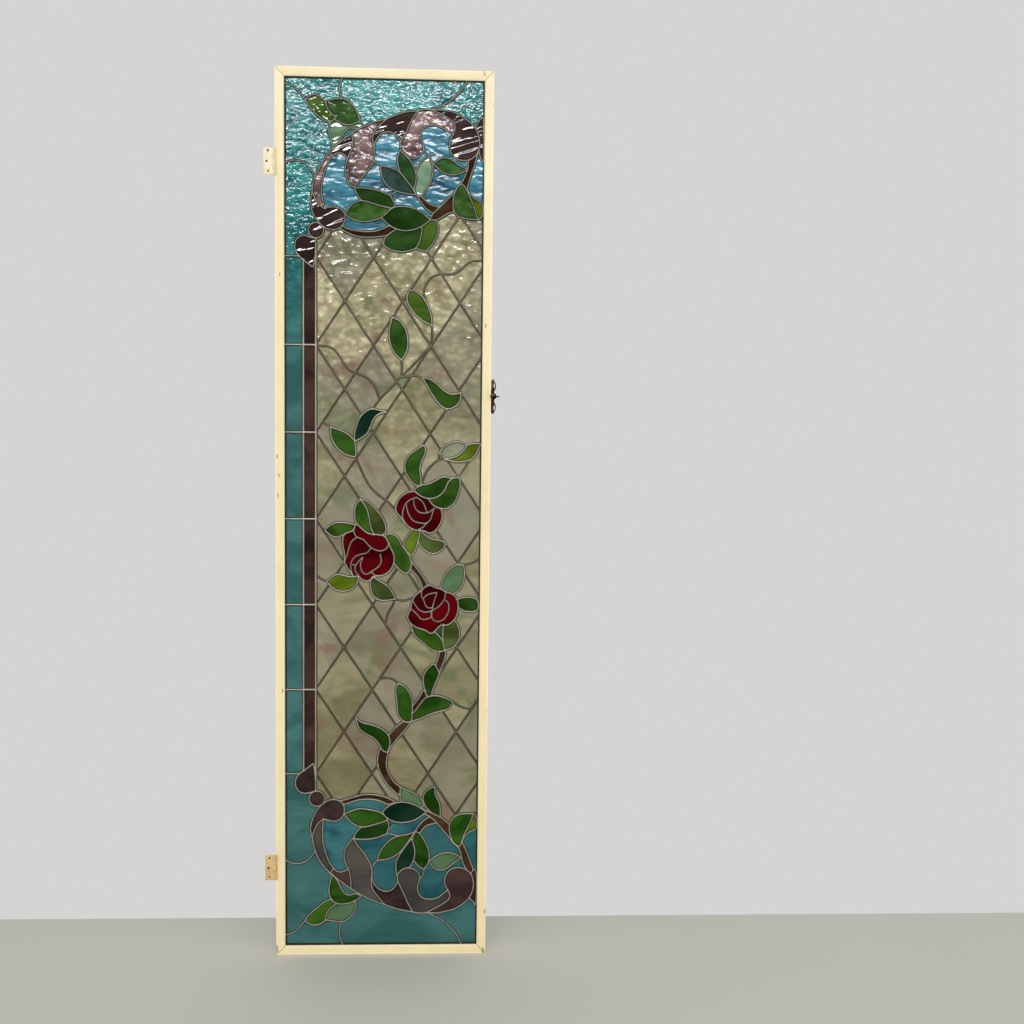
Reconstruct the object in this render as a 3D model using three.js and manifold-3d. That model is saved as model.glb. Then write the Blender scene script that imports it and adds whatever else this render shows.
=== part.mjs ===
// A tall stained glass leaf: a leaded panel of cathedral glass in a slim painted wooden frame, hung on two
// butt hinges at its left stile, with a scrolled brass latch on its right stile. Millimetres, +Z up, seen
// from -Y.
// The origin is on the fixing face of the upper hinge's free plate, where the leaf is screwed to its jamb.
import * as THREE from 'three';
import { mergeVertices } from 'three/addons/utils/BufferGeometryUtils.js';
import Module from 'manifold-3d';

const wasm = await Module();
wasm.setup();

// ---- Driving dimensions -----------------------------------------------------------------------------
const LEAF_W = 500; // across both stiles
const LEAF_H = 2080; // over both rails
const FRAME_FACE = 21; // width of a frame member seen from the front
const FRAME_DEPTH = 28;
const LIP_DEPTH = 5.2; // the front lip that the panel bears against
const REBATE = 9; // how far the panel is let in behind the lip
const ARRIS = 2.2; // chamfer on the inner front edge

const FIT = 0.3; // clearance between touching pieces
const GLASS_T = 3;
const LEAD_W = 4.6; // face of an ordinary lead
const STRIP_LEAD_W = 6; // the two heavier leads beside the dark strip
const LEAD_T = 1.3; // how far a lead stands on the glass
const HEART = 1.2; // gap between two panes under a lead
const EDGE_LEAD = 5; // lead wrapped round the panel's edge
const EDGE_FACE = 11.5; // its face, most of it hidden by the lip

const PITCH_X = 66.6; // half a diamond across
const PITCH_Z = 101.3; // half a diamond up
const FIELD_X = 92.5; // lead between the dark strip and the diamonds
const STRIP_X = 64; // lead between the teal border and the dark strip
const CENTRE_Z = 1047; // level of the middle row of diamonds

const HINGE_H = 60;
const HINGE_T = 1.5;
const BARREL_R = 3;
const PIN_R = 1.5;
const KNUCKLES = 5;
const PLATE_W = 24; // from barrel centre to the free edge
const AXIS_X = -0.5;
const AXIS_Y = -3.3;
const HINGE_Z = [215, 1865]; // middles of the lower and the upper hinge

const LATCH_Z = 1338; // level of the latch knob

// ---- Shape helpers ----------------------------------------------------------------------------------
const xz = ([x, z]) => new THREE.Vector2(x, z);

// Closed outline or open line through knots [x, z]; a third value of 1 makes a knot a corner.
const STEPS = 6; // between two knots, before thinning
function trace(knots, closed, tolerance) {
  const points = knots.map(xz);
  const n = knots.length;
  const corners = knots.map((k, i) => (k[2] ? i : -1)).filter((i) => i >= 0);
  const at = (i) => points[((i % n) + n) % n];
  let line = [];
  if (closed && corners.length === 0) {
    const loop = points.map((p) => new THREE.Vector3(p.x, p.y, 0));
    const curve = new THREE.CatmullRomCurve3(loop, true, 'centripetal');
    line = curve.getPoints(n * STEPS).slice(0, -1).map((p) => new THREE.Vector2(p.x, p.y));
    return thin([...line, line[0]], tolerance).slice(0, -1);
  }
  const inner = corners.filter((i) => i > 0 && i < n - 1);
  const stops = closed ? [...corners, corners[0] + n] : [0, ...inner, n - 1];
  for (let s = 0; s + 1 < stops.length; s++) {
    const run = [];
    for (let i = stops[s]; i <= stops[s + 1]; i++) run.push(new THREE.Vector3(at(i).x, at(i).y, 0));
    const curve = new THREE.CatmullRomCurve3(run, false, 'centripetal');
    const dense = run.length === 2 ? run : curve.getPoints((run.length - 1) * STEPS);
    line.push(...thin(dense.map((p) => new THREE.Vector2(p.x, p.y)), tolerance).slice(0, -1));
  }
  if (!closed) line.push(at(n - 1));
  return line;
}

// Drops the points of a run that lie within tolerance of the chord.
function thin(run, tolerance) {
  const [a, b] = [run[0], run[run.length - 1]];
  const chord = b.clone().sub(a);
  const length = chord.length();
  let worst = 0;
  let where = 0;
  for (let i = 1; i < run.length - 1; i++) {
    const p = run[i].clone().sub(a);
    const off = length < 1e-6 ? p.length() : Math.abs(chord.cross(p)) / length;
    if (off > worst) [worst, where] = [off, i];
  }
  if (worst <= tolerance) return [a, b];
  return [...thin(run.slice(0, where + 1), tolerance).slice(0, -1), ...thin(run.slice(where), tolerance)];
}

// Moves a closed outline outwards by a distance (inwards if negative), with blunted points.
const SHARP = 2.2; // a point sharper than this is blunted
const BLUNTING = 0.63; // share of the distance that it still runs on
function offset(outline, distance) {
  const ring = THREE.ShapeUtils.area(outline) > 0 ? outline : [...outline].reverse();
  const n = ring.length;
  const out = [];
  for (let i = 0; i < n; i++) {
    const before = ring[i].clone().sub(ring[(i + n - 1) % n]).normalize();
    const after = ring[(i + 1) % n].clone().sub(ring[i]).normalize();
    const normalIn = new THREE.Vector2(before.y, -before.x);
    const normalOut = new THREE.Vector2(after.y, -after.x);
    const mitre = normalIn.clone().add(normalOut);
    const scale = 2 / Math.max(mitre.lengthSq(), 1e-9);
    const turn = before.cross(after) * Math.sign(distance);
    if (scale > SHARP && turn > 0) {
      const blunt = Math.abs(distance) * BLUNTING;
      out.push(ring[i].clone().addScaledVector(normalIn, distance).addScaledVector(before, blunt));
      out.push(ring[i].clone().addScaledVector(normalOut, distance).addScaledVector(after, -blunt));
    } else out.push(ring[i].clone().addScaledVector(mitre, distance * scale));
  }
  return out;
}

// The two sides of an open line, as one closed outline of the given width.
function ribbon(line, width) {
  const left = [];
  const right = [];
  line.forEach((p, i) => {
    const before = i > 0 ? p.clone().sub(line[i - 1]).normalize() : null;
    const after = i < line.length - 1 ? line[i + 1].clone().sub(p).normalize() : null;
    const a = before || after;
    const b = after || before;
    const mitre = new THREE.Vector2(a.y + b.y, -a.x - b.x);
    mitre.multiplyScalar((width / 2) * (2 / mitre.lengthSq()));
    left.push(p.clone().sub(mitre));
    right.push(p.clone().add(mitre));
  });
  return [...right, ...left.reverse()];
}

const solid = (geometry) => {
  geometry.deleteAttribute('normal');
  geometry.deleteAttribute('uv');
  const merged = mergeVertices(geometry, 1e-4);
  const vertProperties = new Float32Array(merged.attributes.position.array);
  const triVerts = new Uint32Array(merged.index.array);
  return new wasm.Manifold(new wasm.Mesh({ numProp: 3, vertProperties, triVerts }));
};

const shell = (manifold) => {
  const mesh = manifold.getMesh();
  const geometry = new THREE.BufferGeometry();
  geometry.setAttribute('position', new THREE.BufferAttribute(new Float32Array(mesh.vertProperties), 3));
  geometry.setIndex(new THREE.BufferAttribute(new Uint32Array(mesh.triVerts), 1));
  geometry.computeVertexNormals();
  return geometry;
};

// A flat plate with this outline in X and Z, from y = front to y = back.
function slab(outline, front, back) {
  const shape = new THREE.Shape(outline);
  const geometry = new THREE.ExtrudeGeometry(shape, { depth: back - front, bevelEnabled: false });
  geometry.rotateX(Math.PI / 2).translate(0, back, 0);
  return solid(geometry);
}

const block = (x0, x1, y0, y1, z0, z1) => solid(
  new THREE.BoxGeometry(x1 - x0, y1 - y0, z1 - z0).translate((x0 + x1) / 2, (y0 + y1) / 2, (z0 + z1) / 2),
);
const rect = (x0, z0, x1, z1) => [[x0, z0], [x1, z0], [x1, z1], [x0, z1]].map(xz);
const unite = (list) => wasm.Manifold.union(list);
const disc = (x, z, r, sides) => Array.from({ length: sides }, (_, i) => {
  const a = (2 * Math.PI * (i + 0.5)) / sides;
  return [x + r * Math.cos(a), z + r * Math.sin(a)];
});

// ---- The cartoon ---------------------------------------------------------------------------------------
// Panes laid over the ground, the topmost first: the node they belong to, their glass and their outline
// as knots [x, z] in the leaf's own plane, joined by smooth curves between the knots marked 1. Where an
// outline runs under a pane above it, that pane's edge is the one that shows.
const PANES = [
  // upper scroll, from its ball at the meeting side round to the tail
  ['scroll_upper', 'plum', [[358, 1992, 1], [385, 1992], [410, 1987], [436, 1973], [457, 1955],
    [466, 1935], [468, 1913], [463, 1896], [449, 1883], [431, 1879], [413, 1884], [402, 1896],
    [399, 1912], [402, 1928], [407, 1937, 1], [411, 1950], [408, 1964], [392, 1976]]],
  ['scroll_upper', 'mauve', [[326, 1989, 1], [315, 1974], [304, 1952], [296, 1934], [286, 1919, 1],
    [288, 1903], [298, 1888], [312, 1881], [327, 1885], [338, 1897], [338, 1912], [332, 1928],
    [335, 1945], [346, 1955], [362, 1958], [380, 1953], [407, 1937, 1], [425, 1950, 1], [400, 1985, 1],
    [357, 1991, 1], [342, 1993]]],
  ['scroll_upper', 'mauve', [[254, 1969, 1], [240, 1956], [227, 1942], [222, 1926], [225, 1905],
    [225, 1880], [217, 1860], [199, 1837], [180, 1812, 1], [168, 1822], [162, 1838], [160, 1857],
    [166, 1880], [175, 1902], [177, 1920], [175, 1936, 1], [198, 1949], [225, 1961]]],
  ['scroll_upper', 'plum', [[326, 1989, 1], [330, 1950, 1], [286, 1919, 1], [278, 1931], [262, 1940],
    [245, 1937], [232, 1924], [224, 1903, 1], [215, 1940, 1], [254, 1969, 1], [277, 1979], [301, 1986]]],
  ['scroll_upper', 'plum', [[124, 1892, 1], [137, 1905], [155, 1920], [175, 1936, 1], [190, 1900, 1],
    [166, 1876, 1], [157, 1887], [147, 1891], [137, 1888], [130, 1883, 1]]],
  ['scroll_upper', 'mauve', [[124, 1892, 1], [110, 1872], [97, 1848], [87, 1825], [84, 1802, 1],
    [91, 1785], [101, 1771], [113, 1763, 1], [106, 1782], [105, 1806], [110, 1838], [119, 1864],
    [130, 1883, 1]]],
  ['scroll_upper', 'plum', [[84, 1802, 1], [81, 1785], [82, 1765], [89, 1746], [101, 1730], [115, 1719],
    [131, 1716], [147, 1720], [157, 1732], [160, 1746], [156, 1758], [147, 1765], [135, 1768],
    [122, 1767], [113, 1763, 1], [105, 1795, 1]]],
  ['scroll_upper', 'plum', disc(93, 1714, 18, 12)],
  ['scroll_upper', 'plum', [[89.5, 1627, 1], [76, 1637], [62, 1648], [49, 1661], [44, 1677], [47, 1691],
    [57, 1700], [69, 1702], [81, 1697], [93, 1700, 1], [89.5, 1685, 1]]],
  // leaf spray of the upper cartouche
  ['spray_upper', 'teal_leaf', [[241, 1862, 1], [262, 1860], [284, 1851, 1], [300, 1832], [316, 1812, 1],
    [322, 1799, 1], [303, 1801], [279, 1806], [260, 1815], [247, 1832], [242, 1847]]],
  ['spray_upper', 'mid_green', [[285, 1899, 1], [299, 1887], [313, 1870], [322, 1848], [322, 1830],
    [317, 1811, 1], [292, 1830, 1], [283, 1856], [279, 1878]]],
  ['spray_upper', 'pale_green', [[352, 1886, 1], [360, 1868], [361, 1850], [356, 1830], [346, 1810],
    [333, 1795, 1], [323, 1797, 1], [317, 1812, 1], [316, 1835, 1], [323, 1855], [330, 1869],
    [340, 1880]]],
  ['spray_upper', 'mid_green', [[361, 1870, 1], [373, 1880], [390, 1885], [407, 1878], [423, 1867],
    [441, 1859, 1], [420, 1848], [400, 1846], [380, 1854]]],
  ['spray_upper', 'dark_green', [[181, 1812, 1], [205, 1812], [235, 1807], [263, 1797, 1], [270, 1784],
    [277, 1772, 1], [266, 1767, 1], [240, 1773], [215, 1780], [196, 1784, 1], [187, 1796]]],
  ['spray_upper', 'leaf_green', [[160, 1751, 1], [169, 1767], [183, 1779], [199, 1784, 1], [235, 1790, 1],
    [266, 1767, 1], [243, 1745, 1], [220, 1738], [196, 1736], [174, 1742]]],
  ['spray_upper', 'dark_green', [[243, 1745, 1], [256, 1758], [271, 1769], [292, 1772], [315, 1769],
    [336, 1759], [356, 1743, 1], [338, 1729], [318, 1720], [298, 1717], [279, 1720], [262, 1728]]],
  ['spray_upper', 'dark_green', [[257, 1706, 1], [278, 1721, 1], [300, 1735, 1], [337, 1730, 1],
    [335, 1708], [330, 1690], [322, 1677, 1], [302, 1670], [282, 1669], [262, 1674], [247, 1684, 1],
    [250, 1697]]],
  ['spray_upper', 'bright_green', [[338, 1729, 1], [345, 1745, 1], [356, 1742, 1], [368, 1742],
    [374, 1725], [371, 1705], [360, 1686], [345, 1669, 1], [322, 1677, 1], [325, 1700, 1]]],
  ['spray_upper', 'stem', [[150, 1728, 1], [165, 1719], [185, 1715], [210, 1713], [235, 1716],
    [262, 1728, 1], [282, 1722, 1], [257, 1706], [235, 1702], [205, 1700], [180, 1704], [160, 1712],
    [142, 1722, 1]]],
  ['spray_upper', 'leaf_green', [[430, 1829, 1], [439, 1813, 1], [446, 1797], [455, 1778], [466, 1745, 1],
    [448, 1746], [422, 1750, 1], [411, 1762], [408, 1780], [411, 1803], [419, 1820]]],
  ['spray_upper', 'olive_green', [[440, 1813, 1], [452, 1798], [464, 1789], [478, 1783, 1],
    [478, 1737, 1], [466, 1745, 1], [440, 1775, 1]]],
  ['spray_upper', 'stem', [[464, 1898, 1], [458, 1872], [450, 1850], [440, 1813, 1], [425, 1800, 1],
    [409, 1762, 1], [396, 1758], [380, 1748], [368, 1742], [353, 1743, 1], [362, 1757, 1], [377, 1772],
    [393, 1788], [409, 1805], [428, 1830, 1], [436, 1846], [441, 1862], [443, 1882, 1], [455, 1892, 1]]],
  ['spray_upper', 'stem', [[325, 1796, 1], [337, 1778], [348, 1766], [362, 1758, 1], [390, 1765, 1],
    [378, 1772, 1], [360, 1776], [347, 1783], [336, 1796, 1]]],
  ['half_upper', 'plum', [[478, 1984, 1], [468, 1972], [459, 1958, 1], [455, 1930, 1], [466, 1900, 1],
    [471, 1885], [478, 1872, 1]]],
  // corner leaves, top
  ['corner_upper', 'bright_green', [[68, 2006, 1], [79, 2017], [93, 2020], [104, 2014], [114, 2005, 1],
    [118, 1990], [127, 1979], [139, 1969, 1], [124, 1957, 1], [104, 1967], [85, 1984]]],
  ['corner_upper', 'leaf_green', [[114, 2005, 1], [132, 2010], [153, 2012], [172, 2003], [185, 1986],
    [194, 1963, 1], [165, 1950, 1], [135, 1965, 1], [110, 1985, 1]]],
  ['corner_upper', 'pale_green', [[124, 1958, 1], [140, 1969], [160, 1972], [180, 1969], [203, 1952, 1],
    [188, 1944, 1], [172, 1947], [160, 1940], [152, 1926], [145, 1913, 1], [131, 1898, 1], [128, 1918],
    [122, 1938]]],
  // vine leaves down the diamonds
  ['leaf_1', 'bright_green', [[307, 1582, 1], [322, 1579], [340, 1565], [353, 1542], [360, 1520],
    [361, 1501, 1], [342, 1510], [324, 1524], [310, 1542], [303, 1560]]],
  ['leaf_2', 'mid_green', [[269, 1518, 1], [286, 1511], [299, 1494], [305, 1470], [304, 1444],
    [291, 1420, 1], [275, 1435], [264, 1460], [262, 1488]]],
  ['leaf_3', 'leaf_green', [[340, 1380, 1], [356, 1377], [372, 1367], [390, 1351], [408, 1342],
    [429, 1346, 1], [430, 1334], [422, 1318], [410, 1310], [396, 1308], [380, 1318], [366, 1337],
    [352, 1359]]],
  ['leaf_4', 'teal_leaf', [[258, 1299, 1], [240, 1303], [222, 1306], [207, 1299], [195, 1286],
    [187, 1266], [182, 1245], [183, 1230, 1], [199, 1238], [212, 1249], [220, 1265], [226, 1281],
    [238, 1294]]],
  ['leaf_4', 'leaf_green', [[127, 1262, 1], [147, 1256], [166, 1247], [183, 1231, 1], [185, 1215],
    [186, 1193, 1], [166, 1197], [149, 1207], [135, 1224], [128, 1242]]],
  ['leaf_5', 'leaf_green', [[344, 1224, 1], [326, 1211], [309, 1197], [301, 1182], [302, 1160],
    [313, 1141], [326, 1128], [337, 1126, 1], [338, 1145], [335, 1165], [339, 1185], [347, 1203],
    [348, 1216]]],
  ['leaf_6', 'frost_green', [[380, 1205, 1], [391, 1219], [405, 1228], [421, 1232], [434, 1230],
    [445, 1222, 1], [438, 1211], [426, 1200], [411, 1194], [394, 1191, 1]]],
  ['leaf_6', 'olive_green', [[443, 1223, 1], [460, 1228], [477, 1228, 1], [477, 1217, 1], [458, 1190, 1],
    [440, 1186], [420, 1184], [394, 1191, 1], [425, 1205, 1]]],
  ['leaf_7', 'leaf_green', [[320, 1117, 1], [338, 1129], [356, 1132], [374, 1141], [390, 1149],
    [412, 1145, 1], [402, 1137], [396, 1122], [386, 1108], [370, 1099], [352, 1098], [335, 1105]]],
  ['leaf_7', 'mid_green', [[404, 1145, 1], [428, 1147, 1], [430, 1128], [424, 1104], [414, 1085],
    [398, 1074], [382, 1075], [366, 1083], [354, 1100, 1], [390, 1120, 1]]],
  // roses
  ['rose_1', 'rose_red', [[318, 1114], [300, 1108], [287, 1096], [280, 1080], [280, 1066], [290, 1054],
    [300, 1041], [314, 1027], [330, 1022], [343, 1023], [355, 1016], [368, 1018], [380, 1031],
    [388, 1050], [386, 1072], [362, 1095], [338, 1110]]],
  ['rose_2', 'rose_red', [[187, 1036], [180, 1021], [160, 1012], [155, 994], [159, 970], [161, 948],
    [168, 930], [182, 916], [194, 911], [205, 902], [218, 902], [229, 913], [246, 914], [264, 924],
    [275, 943], [276, 962], [268, 980], [262, 994], [254, 1007], [238, 1011], [215, 1014], [198, 1027]]],
  ['rose_3', 'rose_red', [[338, 878], [350, 889], [361, 893], [373, 887], [386, 884], [398, 877],
    [414, 872], [425, 860], [428, 845], [425, 822], [416, 807], [401, 797], [387, 799], [377, 787],
    [364, 777], [350, 785], [330, 791], [315, 802], [308, 817], [315, 836], [318, 852], [326, 868]]],
  // leaves round the roses
  ['leaf_14', 'mid_green', [[113, 1021, 1], [125, 1032], [140, 1039], [160, 1039], [186, 1034, 1],
    [178, 1020, 1], [162, 1013], [140, 1004], [126, 1010]]],
  ['leaf_8', 'mid_green', [[197, 1094, 1], [187, 1083], [183, 1060], [186, 1040], [198, 1022, 1],
    [232, 1005, 1], [221, 1030], [217, 1052], [211, 1073]]],
  ['leaf_8', 'sage_green', [[197, 1094, 1], [211, 1091], [227, 1077], [244, 1057], [255, 1036],
    [257, 1016, 1], [246, 1009, 1], [225, 1005, 1], [205, 1050, 1]]],
  ['stem_1', 'mid_green', [[254, 1013, 1], [270, 1013], [285, 1004], [295, 985], [308, 968], [316, 950],
    [315, 932], [305, 920], [294, 925], [278, 940, 1], [255, 975, 1]]],
  ['leaf_9', 'sage_green', [[226, 912, 1], [243, 901], [258, 892], [270, 878], [280, 859, 1], [260, 856],
    [243, 856], [230, 864], [222, 880], [220, 898]]],
  ['leaf_10', 'olive_green', [[118, 900, 1], [130, 910], [143, 917], [158, 914], [175, 911],
    [193, 914, 1], [190, 897], [178, 883], [160, 877], [142, 879], [128, 889]]],
  ['leaf_11', 'olive_green', [[320, 1027, 1], [306, 1007], [299, 992], [302, 977], [317, 961, 1],
    [325, 975], [331, 992], [335, 1010], [337, 1027, 1]]],
  ['leaf_11', 'sage_green', [[336, 1027, 1], [350, 1010], [368, 1001], [384, 999], [398, 993, 1],
    [391, 980], [378, 970], [362, 968], [346, 977], [333, 994], [328, 1010, 1]]],
  ['leaf_12', 'pale_green', [[440, 941, 1], [424, 941], [407, 931], [394, 913], [388, 897], [388, 880, 1],
    [404, 868, 1], [416, 872], [428, 880], [438, 896], [442, 918]]],
  ['leaf_13', 'leaf_green', [[422, 858, 1], [442, 864], [458, 864], [477, 857, 1], [477, 834, 1],
    [462, 830], [445, 831], [424, 842, 1]]],
  ['vine', 'sage_green', [[394, 804, 1], [418, 812, 1], [429, 793], [432, 775], [427, 757], [416, 744],
    [397, 737, 1], [393, 757], [392, 780]]],
  ['vine', 'mid_green', [[316, 800, 1], [321, 780], [333, 765], [350, 752], [366, 738], [384, 733, 1],
    [400, 737, 1], [395, 755], [383, 771], [368, 786, 1]]],
  ['vine', 'dark_green', [[372, 788, 1], [380, 765, 1], [400, 750, 1], [400, 804, 1]]],
  // stems
  ['stem_1', 'stem', [[314, 950, 1], [327, 936], [338, 922], [348, 906], [359, 886, 1], [343, 876, 1],
    [341, 894], [332, 911], [323, 922], [310, 933, 1]]],
  ['vine', 'leaf_green', [[371, 706, 1], [357, 693], [347, 676], [347, 656], [351, 640], [354, 627, 1],
    [366, 626, 1], [369, 642], [376, 659], [385, 681, 1], [379, 695]]],
  ['vine', 'leaf_green', [[286, 657, 1], [300, 652], [313, 636], [320, 618], [321, 595], [319, 566, 1],
    [308, 563], [296, 570], [287, 585], [285, 605], [283, 625], [281, 642]]],
  ['vine', 'leaf_green', [[319, 566, 1], [320, 580, 1], [338, 606], [354, 624], [372, 628], [392, 625],
    [418, 613, 1], [405, 596], [390, 591], [362, 583], [340, 572]]],
  ['vine', 'leaf_green', [[186, 578, 1], [200, 564], [222, 558], [244, 550], [260, 539], [268, 522],
    [267, 504], [262, 490, 1], [250, 496], [243, 510], [230, 525], [208, 537], [195, 549], [190, 563]]],
  ['vine', 'stem', [[386, 738, 1], [382, 720], [375, 700, 1], [383, 682, 1], [391, 700], [397, 717],
    [400, 742, 1]]],
  ['vine', 'stem', [[348, 645, 1], [336, 622], [318, 600, 1], [318, 584, 1], [340, 600, 1],
    [360, 622, 1]]],
  ['vine', 'stem', [[300, 566, 1], [284, 553], [270, 538], [252, 515], [243, 495], [239, 475], [240, 457],
    [248, 437], [260, 416], [275, 400], [292, 385, 1], [294, 407, 1], [281, 416], [269, 434], [261, 452],
    [260, 472], [268, 500], [284, 522], [300, 541], [320, 567, 1]]],
  // lower scroll
  ['scroll_lower', 'plum', [[408, 154, 1], [414, 143], [411, 131], [395, 119], [376, 108], [357, 98, 1],
    [380, 97], [400, 100], [422, 106], [443, 118], [460, 134], [469, 156], [469, 180], [461, 197],
    [446, 207], [430, 209], [413, 203], [403, 189], [401, 171]]],
  ['scroll_lower', 'mauve', [[287, 191, 1], [298, 204], [313, 209], [328, 205], [338, 195], [341, 183],
    [336, 165], [338, 146], [348, 135], [364, 131], [382, 134], [408, 154, 1], [425, 140, 1],
    [390, 105, 1], [357, 98, 1], [341, 97], [325, 100, 1], [314, 120], [303, 145], [289, 175, 1]]],
  ['scroll_lower', 'mauve', [[181, 283, 1], [193, 263], [208, 245], [221, 222], [227, 200], [225, 178],
    [228, 158], [240, 140], [258, 118, 1], [225, 131], [200, 144], [177, 158, 1], [176, 180], [172, 203],
    [163, 222], [160, 242], [166, 262]]],
  ['scroll_lower', 'plum', [[226, 187, 1], [233, 168], [245, 156], [262, 151], [277, 157], [288, 175, 1],
    [310, 165, 1], [325, 100, 1], [290, 107], [258, 118, 1], [215, 150, 1]]],
  ['scroll_lower', 'mauve', [[84, 287, 1], [91, 305], [99, 320], [111, 329, 1], [109, 300], [110, 275],
    [116, 248], [125, 224], [135, 208, 1], [127, 197, 1], [112, 213], [99, 234], [89, 260]]],
  ['scroll_lower', 'plum', [[135, 208, 1], [143, 201], [152, 199], [162, 202], [171, 208, 1],
    [190, 180, 1], [177, 158, 1], [155, 174], [140, 186], [127, 197, 1]]],
  ['scroll_lower', 'plum', [[84, 285, 1], [80, 303], [83, 322], [91, 342], [103, 360], [116, 371],
    [131, 377], [147, 374], [157, 366], [161, 350], [157, 336], [148, 327], [135, 323], [122, 326],
    [111, 329, 1], [105, 300, 1]]],
  ['scroll_lower', 'plum', disc(95.5, 378.5, 19, 12)],
  ['scroll_lower', 'plum', [[90, 467, 1], [78, 457], [65, 447], [52, 437], [45, 423], [46, 407],
    [55, 395], [68, 391], [81, 394], [92, 392, 1], [91, 410, 1]]],
  // leaf spray of the lower cartouche
  ['spray_lower', 'teal_leaf', [[250, 345, 1], [263, 358], [280, 367], [300, 370], [320, 366], [338, 358],
    [357, 346, 1], [345, 337], [330, 327], [310, 321], [290, 320], [270, 326], [258, 335]]],
  ['spray_lower', 'pale_green', [[290, 407, 1], [310, 399], [330, 389], [345, 375], [352, 361, 1],
    [335, 350, 1], [297, 368, 1], [292, 390]]],
  ['spray_lower', 'leaf_green', [[378, 408, 1], [362, 402], [350, 390], [348, 374], [355, 358],
    [368, 344], [389, 333, 1], [389, 355], [386, 370], [378, 385], [375, 398]]],
  ['spray_lower', 'leaf_green', [[160, 341, 1], [178, 349], [198, 354], [222, 351], [246, 346, 1],
    [262, 335, 1], [262, 325, 1], [235, 316], [203, 309], [187, 314], [172, 326]]],
  ['spray_lower', 'dark_green', [[182, 281, 1], [189, 297], [203, 311, 1], [240, 330, 1], [264, 326, 1],
    [275, 313, 1], [262, 293, 1], [243, 285], [222, 280], [202, 279]]],
  ['spray_lower', 'leaf_green', [[239, 228, 1], [245, 247], [256, 264], [272, 279], [290, 287],
    [312, 291], [330, 298, 1], [317, 280], [306, 263], [293, 247], [275, 235], [257, 229]]],
  ['spray_lower', 'teal_leaf', [[321, 281, 1], [308, 264], [294, 243], [285, 225], [284, 205],
    [287, 190, 1], [305, 196, 1], [316, 210], [326, 227], [329, 248], [326, 265]]],
  ['spray_lower', 'leaf_green', [[330, 298, 1], [322, 280, 1], [320, 250, 1], [326, 227, 1], [336, 215],
    [350, 204, 1], [360, 218], [364, 238], [360, 258], [351, 277], [340, 294, 1]]],
  ['spray_lower', 'pale_green', [[363, 225, 1], [378, 237], [394, 244], [411, 246], [428, 241],
    [441, 233, 1], [424, 222], [407, 208], [390, 203], [375, 208]]],
  ['spray_lower', 'leaf_green', [[468, 342, 1], [450, 341], [430, 338], [416, 326], [411, 308],
    [414, 288], [422, 270], [435, 259, 1], [441, 270], [445, 286], [455, 306], [463, 324]]],
  ['spray_lower', 'olive_green', [[464, 342, 1], [478, 347, 1], [478, 304, 1], [462, 298], [450, 288],
    [440, 270, 1], [440, 300, 1]]],
  ['spray_lower', 'stem', [[148, 372, 1], [172, 379], [195, 386], [218, 389], [242, 386], [262, 381],
    [284, 369, 1], [264, 363, 1], [250, 371], [232, 376], [210, 377], [188, 374], [165, 366],
    [150, 362, 1]]],
  ['spray_lower', 'stem', [[348, 352, 1], [374, 341], [393, 331], [415, 311, 1], [428, 300, 1],
    [443, 270, 1], [452, 250], [461, 227], [470, 203, 1], [460, 190, 1], [452, 206], [444, 222],
    [440, 242], [433, 260, 1], [421, 268, 1], [408, 287], [395, 302], [382, 318], [370, 330],
    [350, 342, 1]]],
  ['spray_lower', 'stem', [[328, 294, 1], [335, 308], [345, 320], [358, 331], [370, 338, 1],
    [385, 319, 1], [368, 316], [354, 311], [341, 294, 1]]],
  ['half_lower', 'plum', [[478, 214, 1], [469, 203, 1], [460, 165, 1], [461, 133, 1], [470, 124],
    [478, 110, 1]]],
  // corner leaves, bottom
  ['corner_lower', 'leaf_green', [[131, 194, 1], [126, 170], [124, 148], [131, 131], [143, 122],
    [162, 121], [184, 127], [204, 141, 1], [188, 148, 1], [172, 142], [160, 149], [152, 162],
    [143, 182, 1]]],
  ['corner_lower', 'bright_green', [[67, 81, 1], [78, 96], [95, 111], [110, 124], [127, 133, 1],
    [142, 122, 1], [127, 110], [118, 96], [116, 82, 1], [103, 72], [88, 69], [75, 74]]],
  ['corner_lower', 'pale_green', [[114, 82, 1], [120, 130, 1], [165, 135, 1], [190, 124, 1], [188, 108],
    [178, 92], [162, 79], [148, 77], [130, 80]]],
];

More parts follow.
